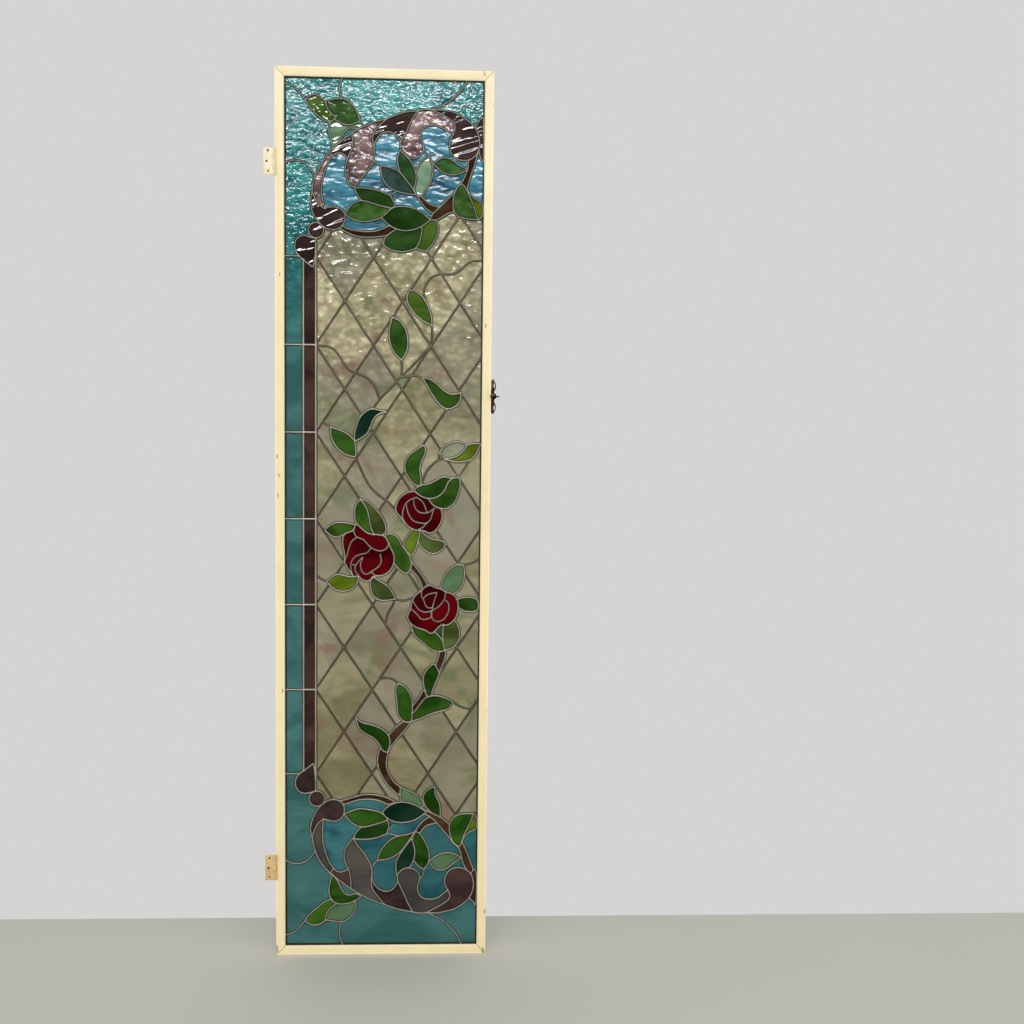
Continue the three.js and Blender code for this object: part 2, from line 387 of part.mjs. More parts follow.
// Leads that only cross the ground, and those that part a rose's petals.
const LINES = [
  // tendrils and lines across the diamonds
  [[478, 1652], [452, 1650], [437, 1640], [424, 1628], [408, 1620], [378, 1619], [360, 1612], [348, 1598],
    [342, 1578], [347, 1556]],
  [[361, 1501], [362, 1480], [358, 1452]],
  [[291, 1420], [292, 1400], [291, 1380]],
  [[93, 1451], [120, 1449], [135, 1442], [148, 1425], [160, 1406], [172, 1393], [186, 1388], [204, 1381],
    [219, 1371], [231, 1354], [240, 1328]],
  [[357, 1452], [320, 1411], [291, 1382], [262, 1350], [241, 1328], [224, 1305]],
  [[291, 1381], [307, 1382], [322, 1385], [341, 1379]],
  [[127, 1262], [118, 1268], [109, 1272]],
  [[187, 1188], [197, 1165], [209, 1140], [225, 1117], [242, 1102], [258, 1091], [272, 1078],
    [282, 1064]],
  [[394, 1191], [380, 1189], [364, 1177], [351, 1161], [343, 1141], [336, 1126]],
  [[381, 1205], [378, 1188]],
  [[118, 900], [107, 904], [95, 914]],
  [[427, 944], [445, 942], [461, 946], [478, 957]],
  [[280, 858], [300, 855], [318, 862]],
  [[278, 860], [273, 843], [262, 826], [256, 800]],
  [[240, 664], [249, 669], [263, 670], [277, 665], [288, 656]],
  [[417, 613], [431, 603], [445, 598], [461, 594]],
  // joints in the upper cartouche's ground
  [[224, 1877], [234, 1866], [242, 1861]],
  [[339, 1902], [347, 1893], [353, 1883], [361, 1869]],
  [[286, 1919], [286, 1896]],
  [[278, 1806], [262, 1797]],
  [[314, 1766], [320, 1771]],
  // and in the lower one's
  [[226, 212], [233, 221], [241, 229]],
  [[341, 183], [349, 192], [352, 205], [362, 225]],
  [[262, 293], [275, 291], [290, 287]],
  [[327, 230], [318, 212], [308, 205]],
  // joints in the teal border
  [[18, 2044], [38, 2039], [54, 2026], [69, 2006]],
  [[154, 2062], [148, 2046], [147, 2030], [151, 2011]],
  [[440, 2062], [428, 2042], [408, 2021], [384, 2004], [356, 1992]],
  [[18, 1864], [40, 1871], [60, 1869], [75, 1858], [90, 1836]],
  [[18, 46], [36, 50], [52, 62], [68, 81]],
  [[158, 20], [151, 40], [150, 60], [153, 79]],
  [[442, 20], [430, 43], [412, 65], [390, 83], [358, 98]],
  [[18, 231], [40, 221], [60, 222], [77, 232], [92, 252]],
];
const PETALS = [
  // rose 1
  [[328, 1100], [314, 1095], [303, 1086], [297, 1072], [295, 1056], [300, 1040]],
  [[304, 1083], [308, 1064], [318, 1047], [335, 1040], [353, 1040], [362, 1051], [365, 1063],
    [371, 1077]],
  [[321, 1096], [323, 1079], [331, 1067], [343, 1063], [357, 1065], [368, 1074]],
  [[327, 1100], [340, 1092], [347, 1081], [352, 1065]],
  [[353, 1041], [345, 1031], [333, 1024]],
  // rose 2
  [[180, 1022], [187, 1006], [203, 1000], [217, 985], [232, 975], [247, 973], [259, 980], [264, 992]],
  [[188, 1004], [176, 995], [170, 979], [165, 960], [160, 950]],
  [[222, 980], [212, 968], [195, 964], [182, 957], [175, 944], [177, 916]],
  [[243, 966], [246, 950], [241, 937], [227, 927], [211, 917], [202, 922], [197, 937], [202, 958]],
  [[178, 940], [186, 939], [193, 948], [202, 957]],
  [[186, 939], [184, 927], [193, 914]],
  [[222, 924], [232, 914]],
  // rose 3
  [[341, 879], [341, 866], [346, 858], [350, 845], [357, 838], [367, 839]],
  [[345, 860], [353, 869], [365, 873], [378, 875]],
  [[377, 874], [372, 858], [367, 839], [364, 817]],
  [[398, 878], [396, 862], [385, 845], [366, 832], [350, 828], [336, 833], [326, 846], [319, 858]],
  [[397, 857], [405, 850], [406, 835], [400, 819], [391, 809], [378, 806], [367, 812], [365, 828]],
  [[316, 836], [330, 824], [340, 812], [352, 811], [366, 817]],
];
// ---- Materials --------------------------------------------------------------------------------------
const finish = (color, roughness, metalness) => (
  new THREE.MeshStandardMaterial({ color, roughness, metalness })
);
const pane = (color) => (
  new THREE.MeshStandardMaterial({ color, roughness: 0.15, transparent: true, opacity: 0.8 })
);
const PAINT = finish(0xf2e3b8, 0.5, 0);
const LEAD = finish(0x8d857a, 0.45, 0.8);
const BRASS = finish(0x6b5330, 0.4, 0.9);
const HINGE_PAINT = finish(0xe9dcb6, 0.5, 0.2);
const GLASS = {
  scroll: pane(0x4b3138),
  half: pane(0x4b3138),
  strip: pane(0x4b3138),
  spray: pane(0x2c6a2c),
  corner: pane(0x3f7d35),
  leaf: pane(0x2f7a24),
  vine: pane(0x2f7a24),
  stem: pane(0x2f7a24),
  rose: pane(0x8a0614),
  teal: pane(0x3f8d90),
  blue: pane(0x3a8fb0),
  diamonds: pane(0xb8ae88),
};

// ---- Levels through the thickness -------------------------------------------------------------------
const LEAD_FRONT = LIP_DEPTH + FIT;
const LEAD_BACK = LEAD_FRONT + LEAD_T;
const GLASS_FRONT = LEAD_BACK + FIT;
const GLASS_BACK = GLASS_FRONT + GLASS_T;
const PANEL_BACK = GLASS_BACK + FIT;
const PANEL_IN = FRAME_FACE - REBATE + 1; // the panel's edge, 1 mm clear of the rebate's wall
const SIGHT = [FRAME_FACE - 2, LEAF_W - FRAME_FACE + 2]; // where lines run in under the lip
const BEAD_TOP = 15; // where a glazing bead starts to slope away

const sash = new THREE.Group();
const root = new THREE.Group();
const add = (group, name, made, material) => {
  const mesh = new THREE.Mesh(shell(made), material);
  mesh.name = name;
  group.add(mesh);
};

// ---- Leaded panel -----------------------------------------------------------------------------------
const REACH = 0.8; // how far panes of one motif run in under a lead, to meet
const LAP = 0.4; // how far one lead runs in under the next
const LINE_TOLERANCE = 3.2; // how far a traced line may stray from its curve
const PETAL_LEAD_W = 3.9;
const SMOOTHING = 0.8; // finer corners than this are taken off the cut sheets and leads
const panelRect = (inset) => {
  const edge = PANEL_IN + inset;
  return rect(edge, edge, LEAF_W - edge, LEAF_H - edge);
};

// Grounds under the panes, the topmost first. Their edges lie under panes or under the two strip leads.
const LIP_LINE = [[130, 1740], [150, 1724], [205, 1707], [250, 1711], [300, 1745], [352, 1752],
  [380, 1757], [420, 1790], [450, 1780], [472, 1765], [486, 1765]];
const SILL_LINE = [[486, 325], [465, 325], [430, 300], [405, 303], [380, 330], [347, 347],
  [300, 360], [272, 367], [250, 378], [205, 382], [155, 367], [130, 350]];
const GROUNDS = [
  ['blue_upper', [...LIP_LINE, [486, 1885], [470, 1890], [450, 1950], [400, 1975], [340, 1975],
    [250, 1955], [150, 1905], [110, 1860], [97, 1840], [95, 1790]]],
  ['blue_lower', [...SILL_LINE, [100, 300], [97, 260], [115, 225], [150, 186], [195, 160],
    [235, 132], [290, 120], [350, 108], [400, 112], [440, 150], [470, 170], [486, 180]]],
  ['diamonds', [[FIELD_X, 1715], ...LIP_LINE, ...SILL_LINE, [FIELD_X, 380]]],
  ['strip', [[STRIP_X, 425], [FIELD_X, 425], [FIELD_X, 1665], [STRIP_X, 1665]]],
  ['teal', [[0, 0], [LEAF_W, 0], [LEAF_W, LEAF_H], [0, LEAF_H]]],
];

const traced = PANES.map(([group, , knots]) => ({ group, outline: trace(knots, true, LINE_TOLERANCE) }));

function leading() {
  const layer = (outline) => slab(outline, LEAD_FRONT, LEAD_BACK);
  const strips = [];
  let above = null;
  for (const { outline } of traced) {
    const ring = layer(offset(outline, LEAD_W / 2)).subtract(layer(offset(outline, -LEAD_W / 2)));
    strips.push(above ? ring.subtract(above) : ring);
    const own = layer(offset(outline, LEAD_W / 2 - LAP));
    above = above ? above.add(own) : own;
  }
  const field = layer(GROUNDS[2][1].map(xz));
  const slope = PITCH_Z / PITCH_X;
  const diamonds = [];
  for (let z = CENTRE_Z - 14 * PITCH_Z; z < LEAF_H + 6 * PITCH_Z; z += 2 * PITCH_Z) {
    for (const way of [-slope, slope]) {
      const line = [[FIELD_X, z], [LEAF_W, z + way * (LEAF_W - FIELD_X)]].map(xz);
      diamonds.push(layer(ribbon(line, LEAD_W)));
    }
  }
  const ground = [unite(diamonds).intersect(field)];
  for (const knots of LINES) ground.push(layer(ribbon(trace(knots, false, LINE_TOLERANCE), LEAD_W)));
  for (const x of [STRIP_X, FIELD_X]) {
    ground.push(layer(rect(x - STRIP_LEAD_W / 2, 428, x + STRIP_LEAD_W / 2, 1700)));
  }
  for (let k = -3; k <= 3; k++) {
    const z = CENTRE_Z + 2 * k * PITCH_Z;
    const end = Math.abs(k) === 3 ? STRIP_X - 8 : FIELD_X;
    ground.push(layer(rect(SIGHT[0], z - LEAD_W / 2, end, z + LEAD_W / 2)));
  }
  strips.push(unite(ground).subtract(above));
  for (const knots of PETALS) {
    strips.push(layer(ribbon(trace(knots, false, LINE_TOLERANCE), PETAL_LEAD_W)));
  }
  const face = layer(panelRect(0)).subtract(layer(panelRect(EDGE_FACE)));
  const within = slab(panelRect(EDGE_LEAD), 0, FRAME_DEPTH);
  const wrap = slab(panelRect(0), LEAD_FRONT, PANEL_BACK).subtract(within);
  const inside = layer(panelRect(0.1));
  return unite(strips).intersect(inside).add(face).add(wrap).asOriginal().simplify(SMOOTHING);
}

// Panes of one motif are one sheet; each ground is cut round them, and its separate fields follow by size.
function glazing() {
  const layer = (outline) => slab(outline, GLASS_FRONT, GLASS_BACK);
  const bounds = layer(panelRect(EDGE_LEAD + FIT));
  const sheets = [];
  let cover = null;
  const groups = [...new Set(traced.map((p) => p.group))];
  for (const group of groups) {
    const own = traced.filter((p) => p.group === group).map((p) => p.outline);
    let sheet = unite(own.map((o) => layer(offset(o, REACH)))).intersect(bounds);
    if (cover) sheet = sheet.subtract(cover);
    sheets.push([group, sheet]);
    const wider = unite(own.map((o) => layer(offset(o, REACH + HEART))));
    cover = cover ? cover.add(wider) : wider;
  }
  for (const [name, knots] of GROUNDS) {
    const outline = knots.map(xz);
    sheets.push([name, layer(outline).intersect(bounds).subtract(cover)]);
    cover = cover.add(layer(offset(outline, HEART)));
  }
  return sheets;
}

// how many separate sheets a ground or motif falls into, where it is more than one
const FIELDS = { blue_upper: 6, blue_lower: 6, spray_lower: 2 };
for (const [name, sheet] of glazing()) {
  const parts = sheet.asOriginal().simplify(SMOOTHING / 2).decompose();
  parts.sort((a, b) => b.volume() - a.volume());
  const kept = parts.slice(0, FIELDS[name] || 1);
  kept.forEach((m, i) => {
    add(sash, `glass_${name}${kept.length > 1 ? `_${i + 1}` : ''}`, m, GLASS[name.split('_')[0]]);
  });
}
add(sash, 'leading', leading(), LEAD);

// ---- Frame and glazing beads ------------------------------------------------------------------------
// A mitred member: its section [u, y], u measured in from the leaf's outer edge, runs along one side.
function member(section, side) {
  const upright = side === 'left' || side === 'right';
  const length = upright ? LEAF_H : LEAF_W;
  const shape = new THREE.Shape(section.map(([u, y]) => new THREE.Vector2(u, y)));
  const geometry = new THREE.ExtrudeGeometry(shape, { depth: length, bevelEnabled: false });
  const p = geometry.attributes.position;
  const mitre = 0.75 * FIT; // taken off each member along its length, for the gap between two
  for (let i = 0; i < p.count; i++) {
    const [u, y, s] = [p.getX(i), p.getY(i), p.getZ(i)];
    const along = s < length / 2 ? u + mitre : length - u - mitre;
    if (side === 'left') p.setXYZ(i, u, y, along);
    if (side === 'right') p.setXYZ(i, LEAF_W - u, y, length - along);
    if (side === 'bottom') p.setXYZ(i, length - along, y, u);
    if (side === 'top') p.setXYZ(i, along, y, LEAF_H - u);
  }
  return solid(geometry);
}
const inner = FRAME_FACE - REBATE;
const MEMBER = [[0, 0], [FRAME_FACE - ARRIS, 0], [FRAME_FACE, ARRIS], [FRAME_FACE, LIP_DEPTH],
  [inner, LIP_DEPTH], [inner, FRAME_DEPTH], [0, FRAME_DEPTH]];
const BEAD_IN = FRAME_FACE - 1;
const BEAD_BACK = FRAME_DEPTH - 3;
const BEAD = [[inner + FIT, PANEL_BACK + FIT], [BEAD_IN, PANEL_BACK + FIT], [BEAD_IN, BEAD_TOP],
  [inner + 4, BEAD_BACK], [inner + FIT, BEAD_BACK]];
const NAMES = { left: 'stile_left', right: 'stile_right', bottom: 'rail_bottom', top: 'rail_top' };
const HOUSING = FIT + HINGE_T;
const PLATE_IN = FRAME_DEPTH - 6; // how far the leaf-side plate reaches back across the stile's edge
for (const side of Object.keys(NAMES)) {
  let frame = member(MEMBER, side);
  if (side === 'left') {
    for (const z of HINGE_Z) {
      const [low, high] = [z - HINGE_H / 2 - FIT, z + HINGE_H / 2 + FIT];
      frame = frame.subtract(block(-1, HOUSING, -1, PLATE_IN + FIT, low, high));
    }
  }
  add(sash, NAMES[side], frame, PAINT);
  add(sash, `bead_${side}`, member(BEAD, side), PAINT);
}

// ---- Butt hinges ------------------------------------------------------------------------------------
const SIDES = 8;
const drum = (r, z0, z1) => solid(new THREE.CylinderGeometry(r, r, z1 - z0, SIDES).rotateX(Math.PI / 2)
  .translate(AXIS_X, AXIS_Y, (z0 + z1) / 2));

// Knuckles of one plate: every other one along the barrel, each joined to the plate by its own web.
function knuckles(z, first, web) {
  const step = HINGE_H / KNUCKLES;
  const made = [];
  for (let k = first; k < KNUCKLES; k += 2) {
    const z0 = z - HINGE_H / 2 + k * step + (k ? FIT / 2 : 0);
    const z1 = z - HINGE_H / 2 + (k + 1) * step - (k < KNUCKLES - 1 ? FIT / 2 : 0);
    made.push(drum(BARREL_R, z0, z1).add(web(z0, z1)));
  }
  return unite(made);
}
const bore = (z) => drum(PIN_R + FIT, z - HINGE_H, z + HINGE_H);

// Three screw holes, set out in a shallow triangle as the plates have them; the countersinks face away
// from the fixing face.
function screwHole(x, y, z, alongX) {
  const hole = new THREE.CylinderGeometry(2.1, 2.1, 8, 6);
  const sink = new THREE.CylinderGeometry(4, 2.1, HINGE_T * 0.9, 6).translate(0, HINGE_T * 0.55, 0);
  const turn = (g) => (alongX ? g.rotateZ(Math.PI / 2) : g).translate(x, y, z);
  return solid(turn(hole)).add(solid(turn(sink)));
}
const HOLES = [[0.58, 0.4], [0.7, 0], [0.55, -0.37]]; // share of the plate's width and height

const names = ['lower', 'upper'];
HINGE_Z.forEach((z, i) => {
  const [zLow, zHigh] = [z - HINGE_H / 2, z + HINGE_H / 2];
  const fixed = AXIS_Y - 0.5 - HINGE_T; // fixing face of the free plate
  let free = block(AXIS_X - PLATE_W, AXIS_X - BARREL_R - FIT, fixed, fixed + HINGE_T, zLow, zHigh);
  const toBarrel = [AXIS_X - BARREL_R - 1, AXIS_X];
  free = free.add(knuckles(z, 0, (z0, z1) => block(...toBarrel, fixed, fixed + HINGE_T, z0, z1)));
  for (const [u, v] of HOLES) {
    free = free.subtract(screwHole(AXIS_X - PLATE_W * u, fixed + HINGE_T / 2, z + HINGE_H * v, false));
  }
  add(root, `hinge_${names[i]}_jamb_plate`, free.subtract(bore(z)), HINGE_PAINT);
  add(root, `hinge_${names[i]}_pin`, drum(PIN_R, zLow - 0.8, zHigh + 0.8), HINGE_PAINT);
  let plate = block(FIT, FIT + HINGE_T, AXIS_Y + BARREL_R + FIT, PLATE_IN, zLow, zHigh);
  plate = plate.add(knuckles(z, 1, (z0, z1) => block(FIT, FIT + HINGE_T, AXIS_Y, 1, z0, z1)));
  for (const [u, v] of HOLES) {
    plate = plate.subtract(screwHole(FIT + HINGE_T / 2, PLATE_IN * u + 2, z + HINGE_H * v, true));
  }
  add(sash, `hinge_${names[i]}_sash_plate`, plate.subtract(bore(z)), HINGE_PAINT);
});

// ---- Latch ------------------------------------------------------------------------------------------
// A cast bar on the meeting stile's edge, with a pierced loop at each end, and a turning ball knob whose
// tongue reaches across to the next leaf.
const LATCH_HALF = 40; // half the casting's height
const BAR = [2.6, 8]; // the bar's sides, out from the stile
const BAR_Y = [2, 8];
const SEAT = [1, BAR_Y[1]]; // the thinner pad the bar is cast with, against the stile
const BAR_HALF = LATCH_HALF - 3;
const LOOP_OUT = 11.8;
const LOOP_LOW = LATCH_HALF - 27;
const LOOP_HIGH = LATCH_HALF - 4;
const LOOP_WALL = 2.6;
const BOSS_R = 5;
const KNOB_R = 7.6;
const KNOB_X = LEAF_W + 5.6;
const KNOB_Y = -10;
const SPINDLE_R = 2.6;
const RIVET_R = 4.2;
const RIVET_T = 1.2;
const TONGUE = [14, 3.2]; // reach from the spindle, and height
const TONGUE_Y = [-1.8, BAR_Y[0] - 2 * FIT];
const ROUND = 10; // sides of the small rounds

// Outline points given out from the stile's edge and up from the latch's middle, for one end of it.
const atLatch = (points, end) => points.map(([x, z]) => new THREE.Vector2(LEAF_W + x, LATCH_Z + end * z));

function latchBody() {
  const seat = block(LEAF_W + FIT, LEAF_W + BAR[0] + FIT, ...SEAT, LATCH_Z - BAR_HALF, LATCH_Z + BAR_HALF);
  const bar = block(LEAF_W + BAR[0], LEAF_W + BAR[1], ...BAR_Y, LATCH_Z - BAR_HALF, LATCH_Z + BAR_HALF);
  let cast = seat.add(bar).add(slab(disc(KNOB_X, LATCH_Z, BOSS_R, ROUND).map(xz), ...BAR_Y));
  const tipR = (BAR[1] - BAR[0]) / 2 + 0.6;
  for (const end of [-1, 1]) {
    const tip = disc(LEAF_W + BAR[1] - tipR, LATCH_Z + end * BAR_HALF, tipR, ROUND).map(xz);
    const loop = atLatch([[BAR[0], LOOP_LOW], [BAR[1] + 1, LOOP_LOW + 1], [LOOP_OUT, LOOP_LOW + 8],
      [LOOP_OUT - 0.6, LOOP_HIGH - 6], [BAR[1], LOOP_HIGH], [BAR[0], LOOP_HIGH]], end);
    const inX = BAR[1] - LOOP_WALL / 2;
    const pierced = atLatch([[inX, LOOP_LOW + 6], [LOOP_OUT - LOOP_WALL, LOOP_LOW + 9],
      [LOOP_OUT - LOOP_WALL, LOOP_HIGH - 7], [inX, LOOP_HIGH - 4]], end);
    cast = cast.add(slab(tip, ...BAR_Y)).add(slab(loop, ...BAR_Y)).subtract(slab(pierced, 0, FRAME_DEPTH));
  }
  return cast.subtract(slab(disc(KNOB_X, LATCH_Z, SPINDLE_R + FIT, ROUND).map(xz), 0, FRAME_DEPTH));
}

function latchKnob() {
  const sphere = new THREE.SphereGeometry(KNOB_R, 12, 8).rotateX(Math.PI / 2);
  const ball = solid(sphere.translate(KNOB_X, KNOB_Y, LATCH_Z));
  const behind = BAR_Y[1] + FIT;
  const spindle = slab(disc(KNOB_X, LATCH_Z, SPINDLE_R, ROUND).map(xz), KNOB_Y, behind + RIVET_T / 2);
  const rivet = slab(disc(KNOB_X, LATCH_Z, RIVET_R, ROUND).map(xz), behind, behind + RIVET_T);
  const [low, high] = [LATCH_Z - TONGUE[1] / 2, LATCH_Z + TONGUE[1] / 2];
  const tongue = block(KNOB_X, KNOB_X + TONGUE[0], ...TONGUE_Y, low, high);
  return unite([ball, spindle, rivet, tongue]);
}
const latch = new THREE.Group();
add(sash, 'latch_plate', latchBody(), BRASS);
add(latch, 'latch_knob', latchKnob(), BRASS);

// ---- The whole, with its origin on the upper hinge's fixing face ------------------------------------
const model = new THREE.Group();
const MOUNT = [AXIS_X - PLATE_W * 0.4, AXIS_Y - 0.5 - HINGE_T, HINGE_Z[1]];
for (const body of [root, sash, latch]) {
  body.position.set(...MOUNT.map((v) => -v));
  model.add(body);
}
export default model;
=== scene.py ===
"""A tall leaded glass leaf: floral stained glass with a diamond lattice between two scrolled ends, in a
slim painted wooden frame, with its two butt hinges and a scrolled brass latch.

The cartoon is kept in the leaf's own millimetres: x from the hinged stile's outer edge, z up from the foot,
y back from the frame's front face. leaf_point() takes it to the frame's metres."""
import math
import bpy
import bmesh
import numpy as np
from mathutils import Matrix, Vector, geometry


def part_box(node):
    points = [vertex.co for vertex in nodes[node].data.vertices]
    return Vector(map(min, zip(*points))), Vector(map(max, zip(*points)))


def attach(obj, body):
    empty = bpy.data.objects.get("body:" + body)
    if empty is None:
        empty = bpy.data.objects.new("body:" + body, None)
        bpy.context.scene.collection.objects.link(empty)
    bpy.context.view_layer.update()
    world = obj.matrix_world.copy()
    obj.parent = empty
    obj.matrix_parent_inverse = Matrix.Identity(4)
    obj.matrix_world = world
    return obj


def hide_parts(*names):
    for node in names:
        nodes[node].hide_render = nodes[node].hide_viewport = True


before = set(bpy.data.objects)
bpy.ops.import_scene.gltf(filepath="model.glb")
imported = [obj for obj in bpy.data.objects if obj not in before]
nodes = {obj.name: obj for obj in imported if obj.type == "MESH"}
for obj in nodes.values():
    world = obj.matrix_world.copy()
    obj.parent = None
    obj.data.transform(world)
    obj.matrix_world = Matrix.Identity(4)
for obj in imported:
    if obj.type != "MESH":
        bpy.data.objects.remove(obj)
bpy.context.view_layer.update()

# ---- Sizes, in millimetres of the leaf ---------------------------------------------------------------
MM = 0.001
left_low, left_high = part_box("stile_left")
right_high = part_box("stile_right")[1]
foot_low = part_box("rail_bottom")[0]
head_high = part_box("rail_top")[1]
LEAF_ZERO = Vector((left_low.x, left_low.y, foot_low.z))
LEAF_W = (right_high.x - left_low.x) / MM
LEAF_H = (head_high.z - foot_low.z) / MM
FRAME_FACE = (left_high.x - left_low.x) / MM
FRAME_DEPTH = (left_high.y - left_low.y) / MM

glass_low, glass_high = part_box("glass_teal")
GLASS_FRONT = (glass_low.y - LEAF_ZERO.y) / MM
GLASS_BACK = (glass_high.y - LEAF_ZERO.y) / MM
LEAD_FRONT = (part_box("leading")[0].y - LEAF_ZERO.y) / MM
LEAD_RISE = GLASS_FRONT - LEAD_FRONT
BACK_RISE = 1.1
LEAD_HALF, STRIP_HALF, PETAL_HALF = 1.75, 2.2, 1.5  # half widths
HEART = 0.6  # half the gap between two panes, under a lead
SIGHT = FRAME_FACE - 1.5  # where panes and leads run in under the lip

# The diamond field: half a diamond across and up, its middle row, its edge and the dark strip's far edge,
# and where the strip ends. The two leads along the strip have ends of their own.
PITCH_X, PITCH_Z = 66.6, 101.3
CENTRE_Z = 1047
FIELD_X, STRIP_X = 92.5, 64
STRIP_FOOT, STRIP_HEAD = 425, 1665
STRIP_LEAD_ENDS = 428, 1700
LATTICE_ROWS, BORDER_ROWS = range(-7, 8), range(-3, 4)
SHORT_BORDER = 8  # the first and last border leads stop this far before the strip
SEED = 7
TOUCHING = 1e-6  # nearer than this is the same place: metres in a mesh, millimetres in the cartoon
LEAD_SIDES = 12  # of a lead's section
SOLDER_SIZE = 1.6  # a solder joint's spread, in half widths of its lead
CEMENT_FOOT = 0.75  # how far the cement spreads past a lead, in half widths
STUB_RADIUS, STUB_DEPTH = 2.3, 1.1  # the dark stubs in the plates' holes


def leaf_point(x, y, z):
    """A point of the leaf, in millimetres, as a place in the frame's metres."""
    return LEAF_ZERO + Vector((x, y, z)) * MM


# ---- The cartoon ---------------------------------------------------------------------------------------
# Panes laid over the ground, the topmost first: their glass, and their outline as knots [x, z], joined by
# smooth curves between the knots marked 1.
def disc(x, z, r, sides):
    turns = [2 * math.pi * (i + 0.5) / sides for i in range(sides)]
    return [[x + r * math.cos(a), z + r * math.sin(a)] for a in turns]


